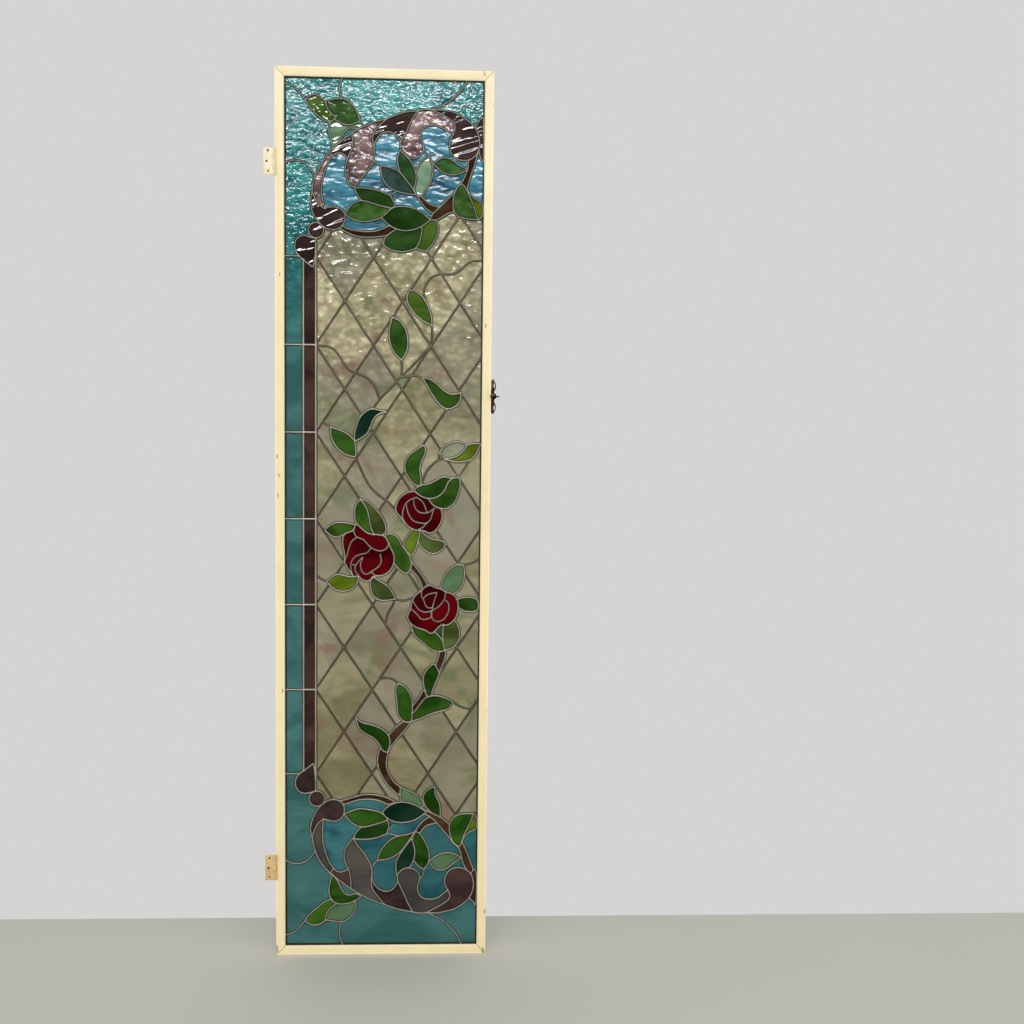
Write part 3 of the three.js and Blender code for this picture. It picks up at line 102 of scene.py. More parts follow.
PANES = [
  # upper scroll, from its ball at the meeting side round to the tail
  ["plum", [[358, 1992, 1], [385, 1992], [410, 1987], [436, 1973], [457, 1955],
    [466, 1935], [468, 1913], [463, 1896], [449, 1883], [431, 1879], [413, 1884], [402, 1896],
    [399, 1912], [402, 1928], [407, 1937, 1], [411, 1950], [408, 1964], [392, 1976]]],
  ["mauve", [[326, 1989, 1], [315, 1974], [304, 1952], [296, 1934], [286, 1919, 1],
    [288, 1903], [298, 1888], [312, 1881], [327, 1885], [338, 1897], [338, 1912], [332, 1928],
    [335, 1945], [346, 1955], [362, 1958], [380, 1953], [407, 1937, 1], [425, 1950, 1], [400, 1985, 1],
    [357, 1991, 1], [342, 1993]]],
  ["mauve", [[254, 1969, 1], [240, 1956], [227, 1942], [222, 1926], [225, 1905],
    [225, 1880], [217, 1860], [199, 1837], [180, 1812, 1], [168, 1822], [162, 1838], [160, 1857],
    [166, 1880], [175, 1902], [177, 1920], [175, 1936, 1], [198, 1949], [225, 1961]]],
  ["plum", [[326, 1989, 1], [330, 1950, 1], [286, 1919, 1], [278, 1931], [262, 1940],
    [245, 1937], [232, 1924], [224, 1903, 1], [215, 1940, 1], [254, 1969, 1], [277, 1979], [301, 1986]]],
  ["plum", [[124, 1892, 1], [137, 1905], [155, 1920], [175, 1936, 1], [190, 1900, 1],
    [166, 1876, 1], [157, 1887], [147, 1891], [137, 1888], [130, 1883, 1]]],
  ["mauve", [[124, 1892, 1], [110, 1872], [97, 1848], [87, 1825], [84, 1802, 1],
    [91, 1785], [101, 1771], [113, 1763, 1], [106, 1782], [105, 1806], [110, 1838], [119, 1864],
    [130, 1883, 1]]],
  ["plum", [[84, 1802, 1], [81, 1785], [82, 1765], [89, 1746], [101, 1730], [115, 1719],
    [131, 1716], [147, 1720], [157, 1732], [160, 1746], [156, 1758], [147, 1765], [135, 1768],
    [122, 1767], [113, 1763, 1], [105, 1795, 1]]],
  ["plum", disc(93, 1714, 18, 12)],
  ["plum", [[89.5, 1627, 1], [76, 1637], [62, 1648], [49, 1661], [44, 1677], [47, 1691],
    [57, 1700], [69, 1702], [81, 1697], [93, 1700, 1], [89.5, 1685, 1]]],
  # leaf spray of the upper cartouche
  ["teal_leaf", [[241, 1862, 1], [262, 1860], [284, 1851, 1], [300, 1832], [316, 1812, 1],
    [322, 1799, 1], [303, 1801], [279, 1806], [260, 1815], [247, 1832], [242, 1847]]],
  ["mid_green", [[285, 1899, 1], [299, 1887], [313, 1870], [322, 1848], [322, 1830],
    [317, 1811, 1], [292, 1830, 1], [283, 1856], [279, 1878]]],
  ["pale_green", [[352, 1886, 1], [360, 1868], [361, 1850], [356, 1830], [346, 1810],
    [333, 1795, 1], [323, 1797, 1], [317, 1812, 1], [316, 1835, 1], [323, 1855], [330, 1869],
    [340, 1880]]],
  ["mid_green", [[361, 1870, 1], [373, 1880], [390, 1885], [407, 1878], [423, 1867],
    [441, 1859, 1], [420, 1848], [400, 1846], [380, 1854]]],
  ["dark_green", [[181, 1812, 1], [205, 1812], [235, 1807], [263, 1797, 1], [270, 1784],
    [277, 1772, 1], [266, 1767, 1], [240, 1773], [215, 1780], [196, 1784, 1], [187, 1796]]],
  ["leaf_green", [[160, 1751, 1], [169, 1767], [183, 1779], [199, 1784, 1], [235, 1790, 1],
    [266, 1767, 1], [243, 1745, 1], [220, 1738], [196, 1736], [174, 1742]]],
  ["dark_green", [[243, 1745, 1], [256, 1758], [271, 1769], [292, 1772], [315, 1769],
    [336, 1759], [356, 1743, 1], [338, 1729], [318, 1720], [298, 1717], [279, 1720], [262, 1728]]],
  ["dark_green", [[257, 1706, 1], [278, 1721, 1], [300, 1735, 1], [337, 1730, 1],
    [335, 1708], [330, 1690], [322, 1677, 1], [302, 1670], [282, 1669], [262, 1674], [247, 1684, 1],
    [250, 1697]]],
  ["bright_green", [[338, 1729, 1], [345, 1745, 1], [356, 1742, 1], [368, 1742],
    [374, 1725], [371, 1705], [360, 1686], [345, 1669, 1], [322, 1677, 1], [325, 1700, 1]]],
  ["stem", [[150, 1728, 1], [165, 1719], [185, 1715], [210, 1713], [235, 1716],
    [262, 1728, 1], [282, 1722, 1], [257, 1706], [235, 1702], [205, 1700], [180, 1704], [160, 1712],
    [142, 1722, 1]]],
  ["leaf_green", [[430, 1829, 1], [439, 1813, 1], [446, 1797], [455, 1778], [466, 1745, 1],
    [448, 1746], [422, 1750, 1], [411, 1762], [408, 1780], [411, 1803], [419, 1820]]],
  ["olive_green", [[440, 1813, 1], [452, 1798], [464, 1789], [478, 1783, 1],
    [478, 1737, 1], [466, 1745, 1], [440, 1775, 1]]],
  ["stem", [[464, 1898, 1], [458, 1872], [450, 1850], [440, 1813, 1], [425, 1800, 1],
    [409, 1762, 1], [396, 1758], [380, 1748], [368, 1742], [353, 1743, 1], [362, 1757, 1], [377, 1772],
    [393, 1788], [409, 1805], [428, 1830, 1], [436, 1846], [441, 1862], [443, 1882, 1], [455, 1892, 1]]],
  ["stem", [[325, 1796, 1], [337, 1778], [348, 1766], [362, 1758, 1], [390, 1765, 1],
    [378, 1772, 1], [360, 1776], [347, 1783], [336, 1796, 1]]],
  ["plum", [[478, 1984, 1], [468, 1972], [459, 1958, 1], [455, 1930, 1], [466, 1900, 1],
    [471, 1885], [478, 1872, 1]]],
  # corner leaves, top
  ["bright_green", [[68, 2006, 1], [79, 2017], [93, 2020], [104, 2014], [114, 2005, 1],
    [118, 1990], [127, 1979], [139, 1969, 1], [124, 1957, 1], [104, 1967], [85, 1984]]],
  ["leaf_green", [[114, 2005, 1], [132, 2010], [153, 2012], [172, 2003], [185, 1986],
    [194, 1963, 1], [165, 1950, 1], [135, 1965, 1], [110, 1985, 1]]],
  ["pale_green", [[124, 1958, 1], [140, 1969], [160, 1972], [180, 1969], [203, 1952, 1],
    [188, 1944, 1], [172, 1947], [160, 1940], [152, 1926], [145, 1913, 1], [131, 1898, 1], [128, 1918],
    [122, 1938]]],
  # vine leaves down the diamonds
  ["bright_green", [[307, 1582, 1], [322, 1579], [340, 1565], [353, 1542], [360, 1520],
    [361, 1501, 1], [342, 1510], [324, 1524], [310, 1542], [303, 1560]]],
  ["mid_green", [[269, 1518, 1], [286, 1511], [299, 1494], [305, 1470], [304, 1444],
    [291, 1420, 1], [275, 1435], [264, 1460], [262, 1488]]],
  ["leaf_green", [[340, 1380, 1], [356, 1377], [372, 1367], [390, 1351], [408, 1342],
    [429, 1346, 1], [430, 1334], [422, 1318], [410, 1310], [396, 1308], [380, 1318], [366, 1337],
    [352, 1359]]],
  ["teal_leaf", [[258, 1299, 1], [240, 1303], [222, 1306], [207, 1299], [195, 1286],
    [187, 1266], [182, 1245], [183, 1230, 1], [199, 1238], [212, 1249], [220, 1265], [226, 1281],
    [238, 1294]]],
  ["leaf_green", [[127, 1262, 1], [147, 1256], [166, 1247], [183, 1231, 1], [185, 1215],
    [186, 1193, 1], [166, 1197], [149, 1207], [135, 1224], [128, 1242]]],
  ["leaf_green", [[344, 1224, 1], [326, 1211], [309, 1197], [301, 1182], [302, 1160],
    [313, 1141], [326, 1128], [337, 1126, 1], [338, 1145], [335, 1165], [339, 1185], [347, 1203],
    [348, 1216]]],
  ["frost_green", [[380, 1205, 1], [391, 1219], [405, 1228], [421, 1232], [434, 1230],
    [445, 1222, 1], [438, 1211], [426, 1200], [411, 1194], [394, 1191, 1]]],
  ["olive_green", [[443, 1223, 1], [460, 1228], [477, 1228, 1], [477, 1217, 1], [458, 1190, 1],
    [440, 1186], [420, 1184], [394, 1191, 1], [425, 1205, 1]]],
  ["leaf_green", [[320, 1117, 1], [338, 1129], [356, 1132], [374, 1141], [390, 1149],
    [412, 1145, 1], [402, 1137], [396, 1122], [386, 1108], [370, 1099], [352, 1098], [335, 1105]]],
  ["mid_green", [[404, 1145, 1], [428, 1147, 1], [430, 1128], [424, 1104], [414, 1085],
    [398, 1074], [382, 1075], [366, 1083], [354, 1100, 1], [390, 1120, 1]]],
  # roses
  ["rose_red", [[318, 1114], [300, 1108], [287, 1096], [280, 1080], [280, 1066], [290, 1054],
    [300, 1041], [314, 1027], [330, 1022], [343, 1023], [355, 1016], [368, 1018], [380, 1031],
    [388, 1050], [386, 1072], [362, 1095], [338, 1110]]],
  ["rose_red", [[187, 1036], [180, 1021], [160, 1012], [155, 994], [159, 970], [161, 948],
    [168, 930], [182, 916], [194, 911], [205, 902], [218, 902], [229, 913], [246, 914], [264, 924],
    [275, 943], [276, 962], [268, 980], [262, 994], [254, 1007], [238, 1011], [215, 1014], [198, 1027]]],
  ["rose_red", [[338, 878], [350, 889], [361, 893], [373, 887], [386, 884], [398, 877],
    [414, 872], [425, 860], [428, 845], [425, 822], [416, 807], [401, 797], [387, 799], [377, 787],
    [364, 777], [350, 785], [330, 791], [315, 802], [308, 817], [315, 836], [318, 852], [326, 868]]],
  # leaves round the roses
  ["mid_green", [[113, 1021, 1], [125, 1032], [140, 1039], [160, 1039], [186, 1034, 1],
    [178, 1020, 1], [162, 1013], [140, 1004], [126, 1010]]],
  ["mid_green", [[197, 1094, 1], [187, 1083], [183, 1060], [186, 1040], [198, 1022, 1],
    [232, 1005, 1], [221, 1030], [217, 1052], [211, 1073]]],
  ["sage_green", [[197, 1094, 1], [211, 1091], [227, 1077], [244, 1057], [255, 1036],
    [257, 1016, 1], [246, 1009, 1], [225, 1005, 1], [205, 1050, 1]]],
  ["mid_green", [[254, 1013, 1], [270, 1013], [285, 1004], [295, 985], [308, 968], [316, 950],
    [315, 932], [305, 920], [294, 925], [278, 940, 1], [255, 975, 1]]],
  ["sage_green", [[226, 912, 1], [243, 901], [258, 892], [270, 878], [280, 859, 1], [260, 856],
    [243, 856], [230, 864], [222, 880], [220, 898]]],
  ["olive_green", [[118, 900, 1], [130, 910], [143, 917], [158, 914], [175, 911],
    [193, 914, 1], [190, 897], [178, 883], [160, 877], [142, 879], [128, 889]]],
  ["olive_green", [[320, 1027, 1], [306, 1007], [299, 992], [302, 977], [317, 961, 1],
    [325, 975], [331, 992], [335, 1010], [337, 1027, 1]]],
  ["sage_green", [[336, 1027, 1], [350, 1010], [368, 1001], [384, 999], [398, 993, 1],
    [391, 980], [378, 970], [362, 968], [346, 977], [333, 994], [328, 1010, 1]]],
  ["pale_green", [[440, 941, 1], [424, 941], [407, 931], [394, 913], [388, 897], [388, 880, 1],
    [404, 868, 1], [416, 872], [428, 880], [438, 896], [442, 918]]],
  ["leaf_green", [[422, 858, 1], [442, 864], [458, 864], [477, 857, 1], [477, 834, 1],
    [462, 830], [445, 831], [424, 842, 1]]],
  ["sage_green", [[394, 804, 1], [418, 812, 1], [429, 793], [432, 775], [427, 757], [416, 744],
    [397, 737, 1], [393, 757], [392, 780]]],
  ["mid_green", [[316, 800, 1], [321, 780], [333, 765], [350, 752], [366, 738], [384, 733, 1],
    [400, 737, 1], [395, 755], [383, 771], [368, 786, 1]]],
  ["dark_green", [[372, 788, 1], [380, 765, 1], [400, 750, 1], [400, 804, 1]]],
  # stems
  ["stem", [[314, 950, 1], [327, 936], [338, 922], [348, 906], [359, 886, 1], [343, 876, 1],
    [341, 894], [332, 911], [323, 922], [310, 933, 1]]],
  ["leaf_green", [[371, 706, 1], [357, 693], [347, 676], [347, 656], [351, 640], [354, 627, 1],
    [366, 626, 1], [369, 642], [376, 659], [385, 681, 1], [379, 695]]],
  ["leaf_green", [[286, 657, 1], [300, 652], [313, 636], [320, 618], [321, 595], [319, 566, 1],
    [308, 563], [296, 570], [287, 585], [285, 605], [283, 625], [281, 642]]],
  ["leaf_green", [[319, 566, 1], [320, 580, 1], [338, 606], [354, 624], [372, 628], [392, 625],
    [418, 613, 1], [405, 596], [390, 591], [362, 583], [340, 572]]],
  ["leaf_green", [[186, 578, 1], [200, 564], [222, 558], [244, 550], [260, 539], [268, 522],
    [267, 504], [262, 490, 1], [250, 496], [243, 510], [230, 525], [208, 537], [195, 549], [190, 563]]],
  ["stem", [[386, 738, 1], [382, 720], [375, 700, 1], [383, 682, 1], [391, 700], [397, 717],
    [400, 742, 1]]],
  ["stem", [[348, 645, 1], [336, 622], [318, 600, 1], [318, 584, 1], [340, 600, 1],
    [360, 622, 1]]],
  ["stem", [[300, 566, 1], [284, 553], [270, 538], [252, 515], [243, 495], [239, 475], [240, 457],
    [248, 437], [260, 416], [275, 400], [292, 385, 1], [294, 407, 1], [281, 416], [269, 434], [261, 452],
    [260, 472], [268, 500], [284, 522], [300, 541], [320, 567, 1]]],
  # lower scroll
  ["plum", [[408, 154, 1], [414, 143], [411, 131], [395, 119], [376, 108], [357, 98, 1],
    [380, 97], [400, 100], [422, 106], [443, 118], [460, 134], [469, 156], [469, 180], [461, 197],
    [446, 207], [430, 209], [413, 203], [403, 189], [401, 171]]],
  ["mauve", [[287, 191, 1], [298, 204], [313, 209], [328, 205], [338, 195], [341, 183],
    [336, 165], [338, 146], [348, 135], [364, 131], [382, 134], [408, 154, 1], [425, 140, 1],
    [390, 105, 1], [357, 98, 1], [341, 97], [325, 100, 1], [314, 120], [303, 145], [289, 175, 1]]],
  ["mauve", [[181, 283, 1], [193, 263], [208, 245], [221, 222], [227, 200], [225, 178],
    [228, 158], [240, 140], [258, 118, 1], [225, 131], [200, 144], [177, 158, 1], [176, 180], [172, 203],
    [163, 222], [160, 242], [166, 262]]],
  ["plum", [[226, 187, 1], [233, 168], [245, 156], [262, 151], [277, 157], [288, 175, 1],
    [310, 165, 1], [325, 100, 1], [290, 107], [258, 118, 1], [215, 150, 1]]],
  ["mauve", [[84, 287, 1], [91, 305], [99, 320], [111, 329, 1], [109, 300], [110, 275],
    [116, 248], [125, 224], [135, 208, 1], [127, 197, 1], [112, 213], [99, 234], [89, 260]]],
  ["plum", [[135, 208, 1], [143, 201], [152, 199], [162, 202], [171, 208, 1],
    [190, 180, 1], [177, 158, 1], [155, 174], [140, 186], [127, 197, 1]]],
  ["plum", [[84, 285, 1], [80, 303], [83, 322], [91, 342], [103, 360], [116, 371],
    [131, 377], [147, 374], [157, 366], [161, 350], [157, 336], [148, 327], [135, 323], [122, 326],
    [111, 329, 1], [105, 300, 1]]],
  ["plum", disc(95.5, 378.5, 19, 12)],
  ["plum", [[90, 467, 1], [78, 457], [65, 447], [52, 437], [45, 423], [46, 407],
    [55, 395], [68, 391], [81, 394], [92, 392, 1], [91, 410, 1]]],
  # leaf spray of the lower cartouche
  ["teal_leaf", [[250, 345, 1], [263, 358], [280, 367], [300, 370], [320, 366], [338, 358],
    [357, 346, 1], [345, 337], [330, 327], [310, 321], [290, 320], [270, 326], [258, 335]]],
  ["pale_green", [[290, 407, 1], [310, 399], [330, 389], [345, 375], [352, 361, 1],
    [335, 350, 1], [297, 368, 1], [292, 390]]],
  ["leaf_green", [[378, 408, 1], [362, 402], [350, 390], [348, 374], [355, 358],
    [368, 344], [389, 333, 1], [389, 355], [386, 370], [378, 385], [375, 398]]],
  ["leaf_green", [[160, 341, 1], [178, 349], [198, 354], [222, 351], [246, 346, 1],
    [262, 335, 1], [262, 325, 1], [235, 316], [203, 309], [187, 314], [172, 326]]],
  ["dark_green", [[182, 281, 1], [189, 297], [203, 311, 1], [240, 330, 1], [264, 326, 1],
    [275, 313, 1], [262, 293, 1], [243, 285], [222, 280], [202, 279]]],
  ["leaf_green", [[239, 228, 1], [245, 247], [256, 264], [272, 279], [290, 287],
    [312, 291], [330, 298, 1], [317, 280], [306, 263], [293, 247], [275, 235], [257, 229]]],
  ["teal_leaf", [[321, 281, 1], [308, 264], [294, 243], [285, 225], [284, 205],
    [287, 190, 1], [305, 196, 1], [316, 210], [326, 227], [329, 248], [326, 265]]],
  ["leaf_green", [[330, 298, 1], [322, 280, 1], [320, 250, 1], [326, 227, 1], [336, 215],
    [350, 204, 1], [360, 218], [364, 238], [360, 258], [351, 277], [340, 294, 1]]],
  ["pale_green", [[363, 225, 1], [378, 237], [394, 244], [411, 246], [428, 241],
    [441, 233, 1], [424, 222], [407, 208], [390, 203], [375, 208]]],
  ["leaf_green", [[468, 342, 1], [450, 341], [430, 338], [416, 326], [411, 308],
    [414, 288], [422, 270], [435, 259, 1], [441, 270], [445, 286], [455, 306], [463, 324]]],
  ["olive_green", [[464, 342, 1], [478, 347, 1], [478, 304, 1], [462, 298], [450, 288],
    [440, 270, 1], [440, 300, 1]]],
  ["stem", [[148, 372, 1], [172, 379], [195, 386], [218, 389], [242, 386], [262, 381],
    [284, 369, 1], [264, 363, 1], [250, 371], [232, 376], [210, 377], [188, 374], [165, 366],
    [150, 362, 1]]],
  ["stem", [[348, 352, 1], [374, 341], [393, 331], [415, 311, 1], [428, 300, 1],
    [443, 270, 1], [452, 250], [461, 227], [470, 203, 1], [460, 190, 1], [452, 206], [444, 222],
    [440, 242], [433, 260, 1], [421, 268, 1], [408, 287], [395, 302], [382, 318], [370, 330],
    [350, 342, 1]]],
  ["stem", [[328, 294, 1], [335, 308], [345, 320], [358, 331], [370, 338, 1],
    [385, 319, 1], [368, 316], [354, 311], [341, 294, 1]]],
  ["plum", [[478, 214, 1], [469, 203, 1], [460, 165, 1], [461, 133, 1], [470, 124],
    [478, 110, 1]]],
  # corner leaves, bottom
  ["leaf_green", [[131, 194, 1], [126, 170], [124, 148], [131, 131], [143, 122],
    [162, 121], [184, 127], [204, 141, 1], [188, 148, 1], [172, 142], [160, 149], [152, 162],
    [143, 182, 1]]],
  ["bright_green", [[67, 81, 1], [78, 96], [95, 111], [110, 124], [127, 133, 1],
    [142, 122, 1], [127, 110], [118, 96], [116, 82, 1], [103, 72], [88, 69], [75, 74]]],
  ["pale_green", [[114, 82, 1], [120, 130, 1], [165, 135, 1], [190, 124, 1], [188, 108],
    [178, 92], [162, 79], [148, 77], [130, 80]]],
]
# Leads that only cross the ground.
LINES = [
  # tendrils and lines across the diamonds
  [[478, 1652], [452, 1650], [437, 1640], [424, 1628], [408, 1620], [378, 1619], [360, 1612], [348, 1598],
    [342, 1578], [347, 1556]],
  [[361, 1501], [362, 1480], [358, 1452]],
  [[291, 1420], [292, 1400], [291, 1380]],
  [[93, 1451], [120, 1449], [135, 1442], [148, 1425], [160, 1406], [172, 1393], [186, 1388], [204, 1381],
    [219, 1371], [231, 1354], [240, 1328]],
  [[357, 1452], [320, 1411], [291, 1382], [262, 1350], [241, 1328], [224, 1305]],
  [[291, 1381], [307, 1382], [322, 1385], [341, 1379]],
  [[127, 1262], [118, 1268], [109, 1272]],
  [[187, 1188], [197, 1165], [209, 1140], [225, 1117], [242, 1102], [258, 1091], [272, 1078],
    [282, 1064]],
  [[394, 1191], [380, 1189], [364, 1177], [351, 1161], [343, 1141], [336, 1126]],
  [[381, 1205], [378, 1188]],
  [[118, 900], [107, 904], [95, 914]],
  [[427, 944], [445, 942], [461, 946], [478, 957]],
  [[280, 858], [300, 855], [318, 862]],
  [[278, 860], [273, 843], [262, 826], [256, 800]],
  [[240, 664], [249, 669], [263, 670], [277, 665], [288, 656]],
  [[417, 613], [431, 603], [445, 598], [461, 594]],
  # joints in the upper cartouche"s ground
  [[224, 1877], [234, 1866], [242, 1861]],
  [[339, 1902], [347, 1893], [353, 1883], [361, 1869]],
  [[286, 1919], [286, 1896]],
  [[278, 1806], [262, 1797]],
  [[314, 1766], [320, 1771]],
  # and in the lower one"s
  [[226, 212], [233, 221], [241, 229]],
  [[341, 183], [349, 192], [352, 205], [362, 225]],
  [[262, 293], [275, 291], [290, 287]],
  [[327, 230], [318, 212], [308, 205]],
  # joints in the teal border
  [[18, 2044], [38, 2039], [54, 2026], [69, 2006]],
  [[154, 2062], [148, 2046], [147, 2030], [151, 2011]],
  [[440, 2062], [428, 2042], [408, 2021], [384, 2004], [356, 1992]],
  [[18, 1864], [40, 1871], [60, 1869], [75, 1858], [90, 1836]],
  [[18, 46], [36, 50], [52, 62], [68, 81]],
  [[158, 20], [151, 40], [150, 60], [153, 79]],
  [[442, 20], [430, 43], [412, 65], [390, 83], [358, 98]],
  [[18, 231], [40, 221], [60, 222], [77, 232], [92, 252]],
]
# Leads that part a rose's petals.
PETALS = [
  # rose 1
  [[328, 1100], [314, 1095], [303, 1086], [297, 1072], [295, 1056], [300, 1040]],
  [[304, 1083], [308, 1064], [318, 1047], [335, 1040], [353, 1040], [362, 1051], [365, 1063],
    [371, 1077]],
  [[321, 1096], [323, 1079], [331, 1067], [343, 1063], [357, 1065], [368, 1074]],
  [[327, 1100], [340, 1092], [347, 1081], [352, 1065]],
  [[353, 1041], [345, 1031], [333, 1024]],
  # rose 2
  [[180, 1022], [187, 1006], [203, 1000], [217, 985], [232, 975], [247, 973], [259, 980], [264, 992]],
  [[188, 1004], [176, 995], [170, 979], [165, 960], [160, 950]],
  [[222, 980], [212, 968], [195, 964], [182, 957], [175, 944], [177, 916]],
  [[243, 966], [246, 950], [241, 937], [227, 927], [211, 917], [202, 922], [197, 937], [202, 958]],
  [[178, 940], [186, 939], [193, 948], [202, 957]],
  [[186, 939], [184, 927], [193, 914]],
  [[222, 924], [232, 914]],
  # rose 3
  [[341, 879], [341, 866], [346, 858], [350, 845], [357, 838], [367, 839]],
  [[345, 860], [353, 869], [365, 873], [378, 875]],
  [[377, 874], [372, 858], [367, 839], [364, 817]],
  [[398, 878], [396, 862], [385, 845], [366, 832], [350, 828], [336, 833], [326, 846], [319, 858]],
  [[397, 857], [405, 850], [406, 835], [400, 819], [391, 809], [378, 806], [367, 812], [365, 828]],
  [[316, 836], [330, 824], [340, 812], [352, 811], [366, 817]],
]
# Grounds under the panes, the topmost first. Their edges lie under panes or under the two strip leads.
LIP_LINE = [[130, 1740], [150, 1724], [205, 1707], [250, 1711], [300, 1745], [352, 1752],
    [380, 1757], [420, 1790], [450, 1780], [472, 1765], [486, 1765]]
SILL_LINE = [[486, 325], [465, 325], [430, 300], [405, 303], [380, 330], [347, 347],
    [300, 360], [272, 367], [250, 378], [205, 382], [155, 367], [130, 350]]
GROUNDS = [
    ["blue", LIP_LINE + [[486, 1885], [470, 1890], [450, 1950], [400, 1975], [340, 1975],
        [250, 1955], [150, 1905], [110, 1860], [97, 1840], [95, 1790]]],
    ["blue", SILL_LINE + [[100, 300], [97, 260], [115, 225], [150, 186], [195, 160],
        [235, 132], [290, 120], [350, 108], [400, 112], [440, 150], [470, 170], [486, 180]]],
    ["clear", [[FIELD_X, 1715]] + LIP_LINE + SILL_LINE + [[FIELD_X, 380]]],
    ["strip", [[STRIP_X, STRIP_FOOT], [FIELD_X, STRIP_FOOT], [FIELD_X, STRIP_HEAD],
        [STRIP_X, STRIP_HEAD]]],
    ["teal", [[0, 0], [LEAF_W, 0], [LEAF_W, LEAF_H], [0, LEAF_H]]],
]


# ---- From the cartoon to a net of leads and the panes between them -------------------------------------
STEP = 3.0  # spacing of points along a curve
LEAST_PANE = 45  # mm2; anything smaller is a slip between two leads, and joins its neighbour
LEAST_BREADTH = 1.5  # area over edge length, the same
MERGES = 4  # times that slips are looked for
MEETING = 0.05  # lines this near each other meet
ON_LINE = 0.3  # an edge this near to one of the strip's two leads is part of it
SHARPEST = 0.2  # a pane's corner sharper than this isn't drawn in: the two sides' directions nearly cancel


def bend(points):
    """An open centripetal curve through the points, at even spacing."""
    p = np.array(points, float)
    if len(p) == 2:
        return p
    p = np.vstack([2 * p[0] - p[1], p, 2 * p[-1] - p[-2]])
    out = []
    for i in range(1, len(p) - 2):
        a, b, c, d = p[i - 1 : i + 3]
        ab, bc, cd = [max(np.linalg.norm(v) ** 0.5, 1e-3) for v in (b - a, c - b, d - c)]
        out_b = ((b - a) / ab - (c - a) / (ab + bc) + (c - b) / bc) * bc
        in_c = ((c - b) / bc - (d - b) / (bc + cd) + (d - c) / cd) * bc
        count = max(2, int(np.linalg.norm(c - b) / STEP))
        t = np.arange(count)[:, None] / count
        out.append(b * (2 * t**3 - 3 * t**2 + 1) + out_b * (t**3 - 2 * t**2 + t)
                   + c * (3 * t**2 - 2 * t**3) + in_c * (t**3 - t**2))
    return np.vstack(out + [p[-2:-1]])


def nearest(points, place):
    return int(np.argmin(np.linalg.norm(points - place, axis=1)))


def trace(knots, closed):
    """The cartoon's line through these knots, with its corners kept."""
    p = [k[:2] for k in knots]
    n = len(p)
    corners = [i for i, k in enumerate(knots) if len(k) > 2]
    if closed and not corners:
        looped = bend(p[-3:] + p + p[:4])
        half = len(looped) // 2
        start = nearest(looped[:half], p[0])
        end = len(looped) - 1 - nearest(looped[::-1][:half], p[0])
        return looped[start:end]
    if closed:
        stops = corners + [corners[0] + n]
    else:
        stops = [0] + [i for i in corners if 0 < i < n - 1] + [n - 1]
    runs = [bend([p[i % n] for i in range(s, e + 1)])[:-1] for s, e in zip(stops, stops[1:])]
    if not closed:
        runs.append(np.array(p[-1:], float))
    return np.vstack(runs)


def inside(outline, points):
    """Which of the points lie in the closed outline."""
    a = outline
    b = np.roll(outline, -1, axis=0)
    x, z = points[:, 0], points[:, 1]
    found = np.zeros(len(points), bool)
    low, high = outline.min(0), outline.max(0)
    near = np.nonzero((x > low[0]) & (x < high[0]) & (z > low[1]) & (z < high[1]))[0]
    if len(near) == 0:
        return found
    px, pz = x[near][:, None], z[near][:, None]
    cross = (a[:, 1] > pz) != (b[:, 1] > pz)
    with np.errstate(divide="ignore", invalid="ignore"):
        at = a[:, 0] + (pz - a[:, 1]) / (b[:, 1] - a[:, 1]) * (b[:, 0] - a[:, 0])
    found[near] = (cross & (px < at)).sum(1) % 2 == 1
    return found


def rows_of(k_range):
    return [CENTRE_Z + 2 * k * PITCH_Z for k in k_range]


def lines_of_the_ground():
    """Every open line with the rule that says where it shows: (rule, points)."""
    lines = [("ground", trace(knots, False)) for knots in LINES]
    lines += [("petal", trace(knots, False)) for knots in PETALS]
    slope = PITCH_Z / PITCH_X
    run = LEAF_W - FIELD_X
    for z in rows_of(LATTICE_ROWS):
        for way in (-slope, slope):
            lines.append(("lattice", np.array([[FIELD_X, z], [LEAF_W, z + way * run]])))
    for k, z in zip(BORDER_ROWS, rows_of(BORDER_ROWS)):
        end = STRIP_X - SHORT_BORDER if k in (BORDER_ROWS[0], BORDER_ROWS[-1]) else FIELD_X
        lines.append(("border", np.array([[SIGHT, z], [end, z]])))
    for x in (STRIP_X, FIELD_X):
        lines.append(("ground", np.array([[x, z] for z in STRIP_LEAD_ENDS])))
    return lines


SHOWS_ON = {"lattice": {"clear"}, "border": {"teal", "strip"}, "petal": {"rose_red"},
            "ground": {"clear", "teal", "strip", "blue"}}


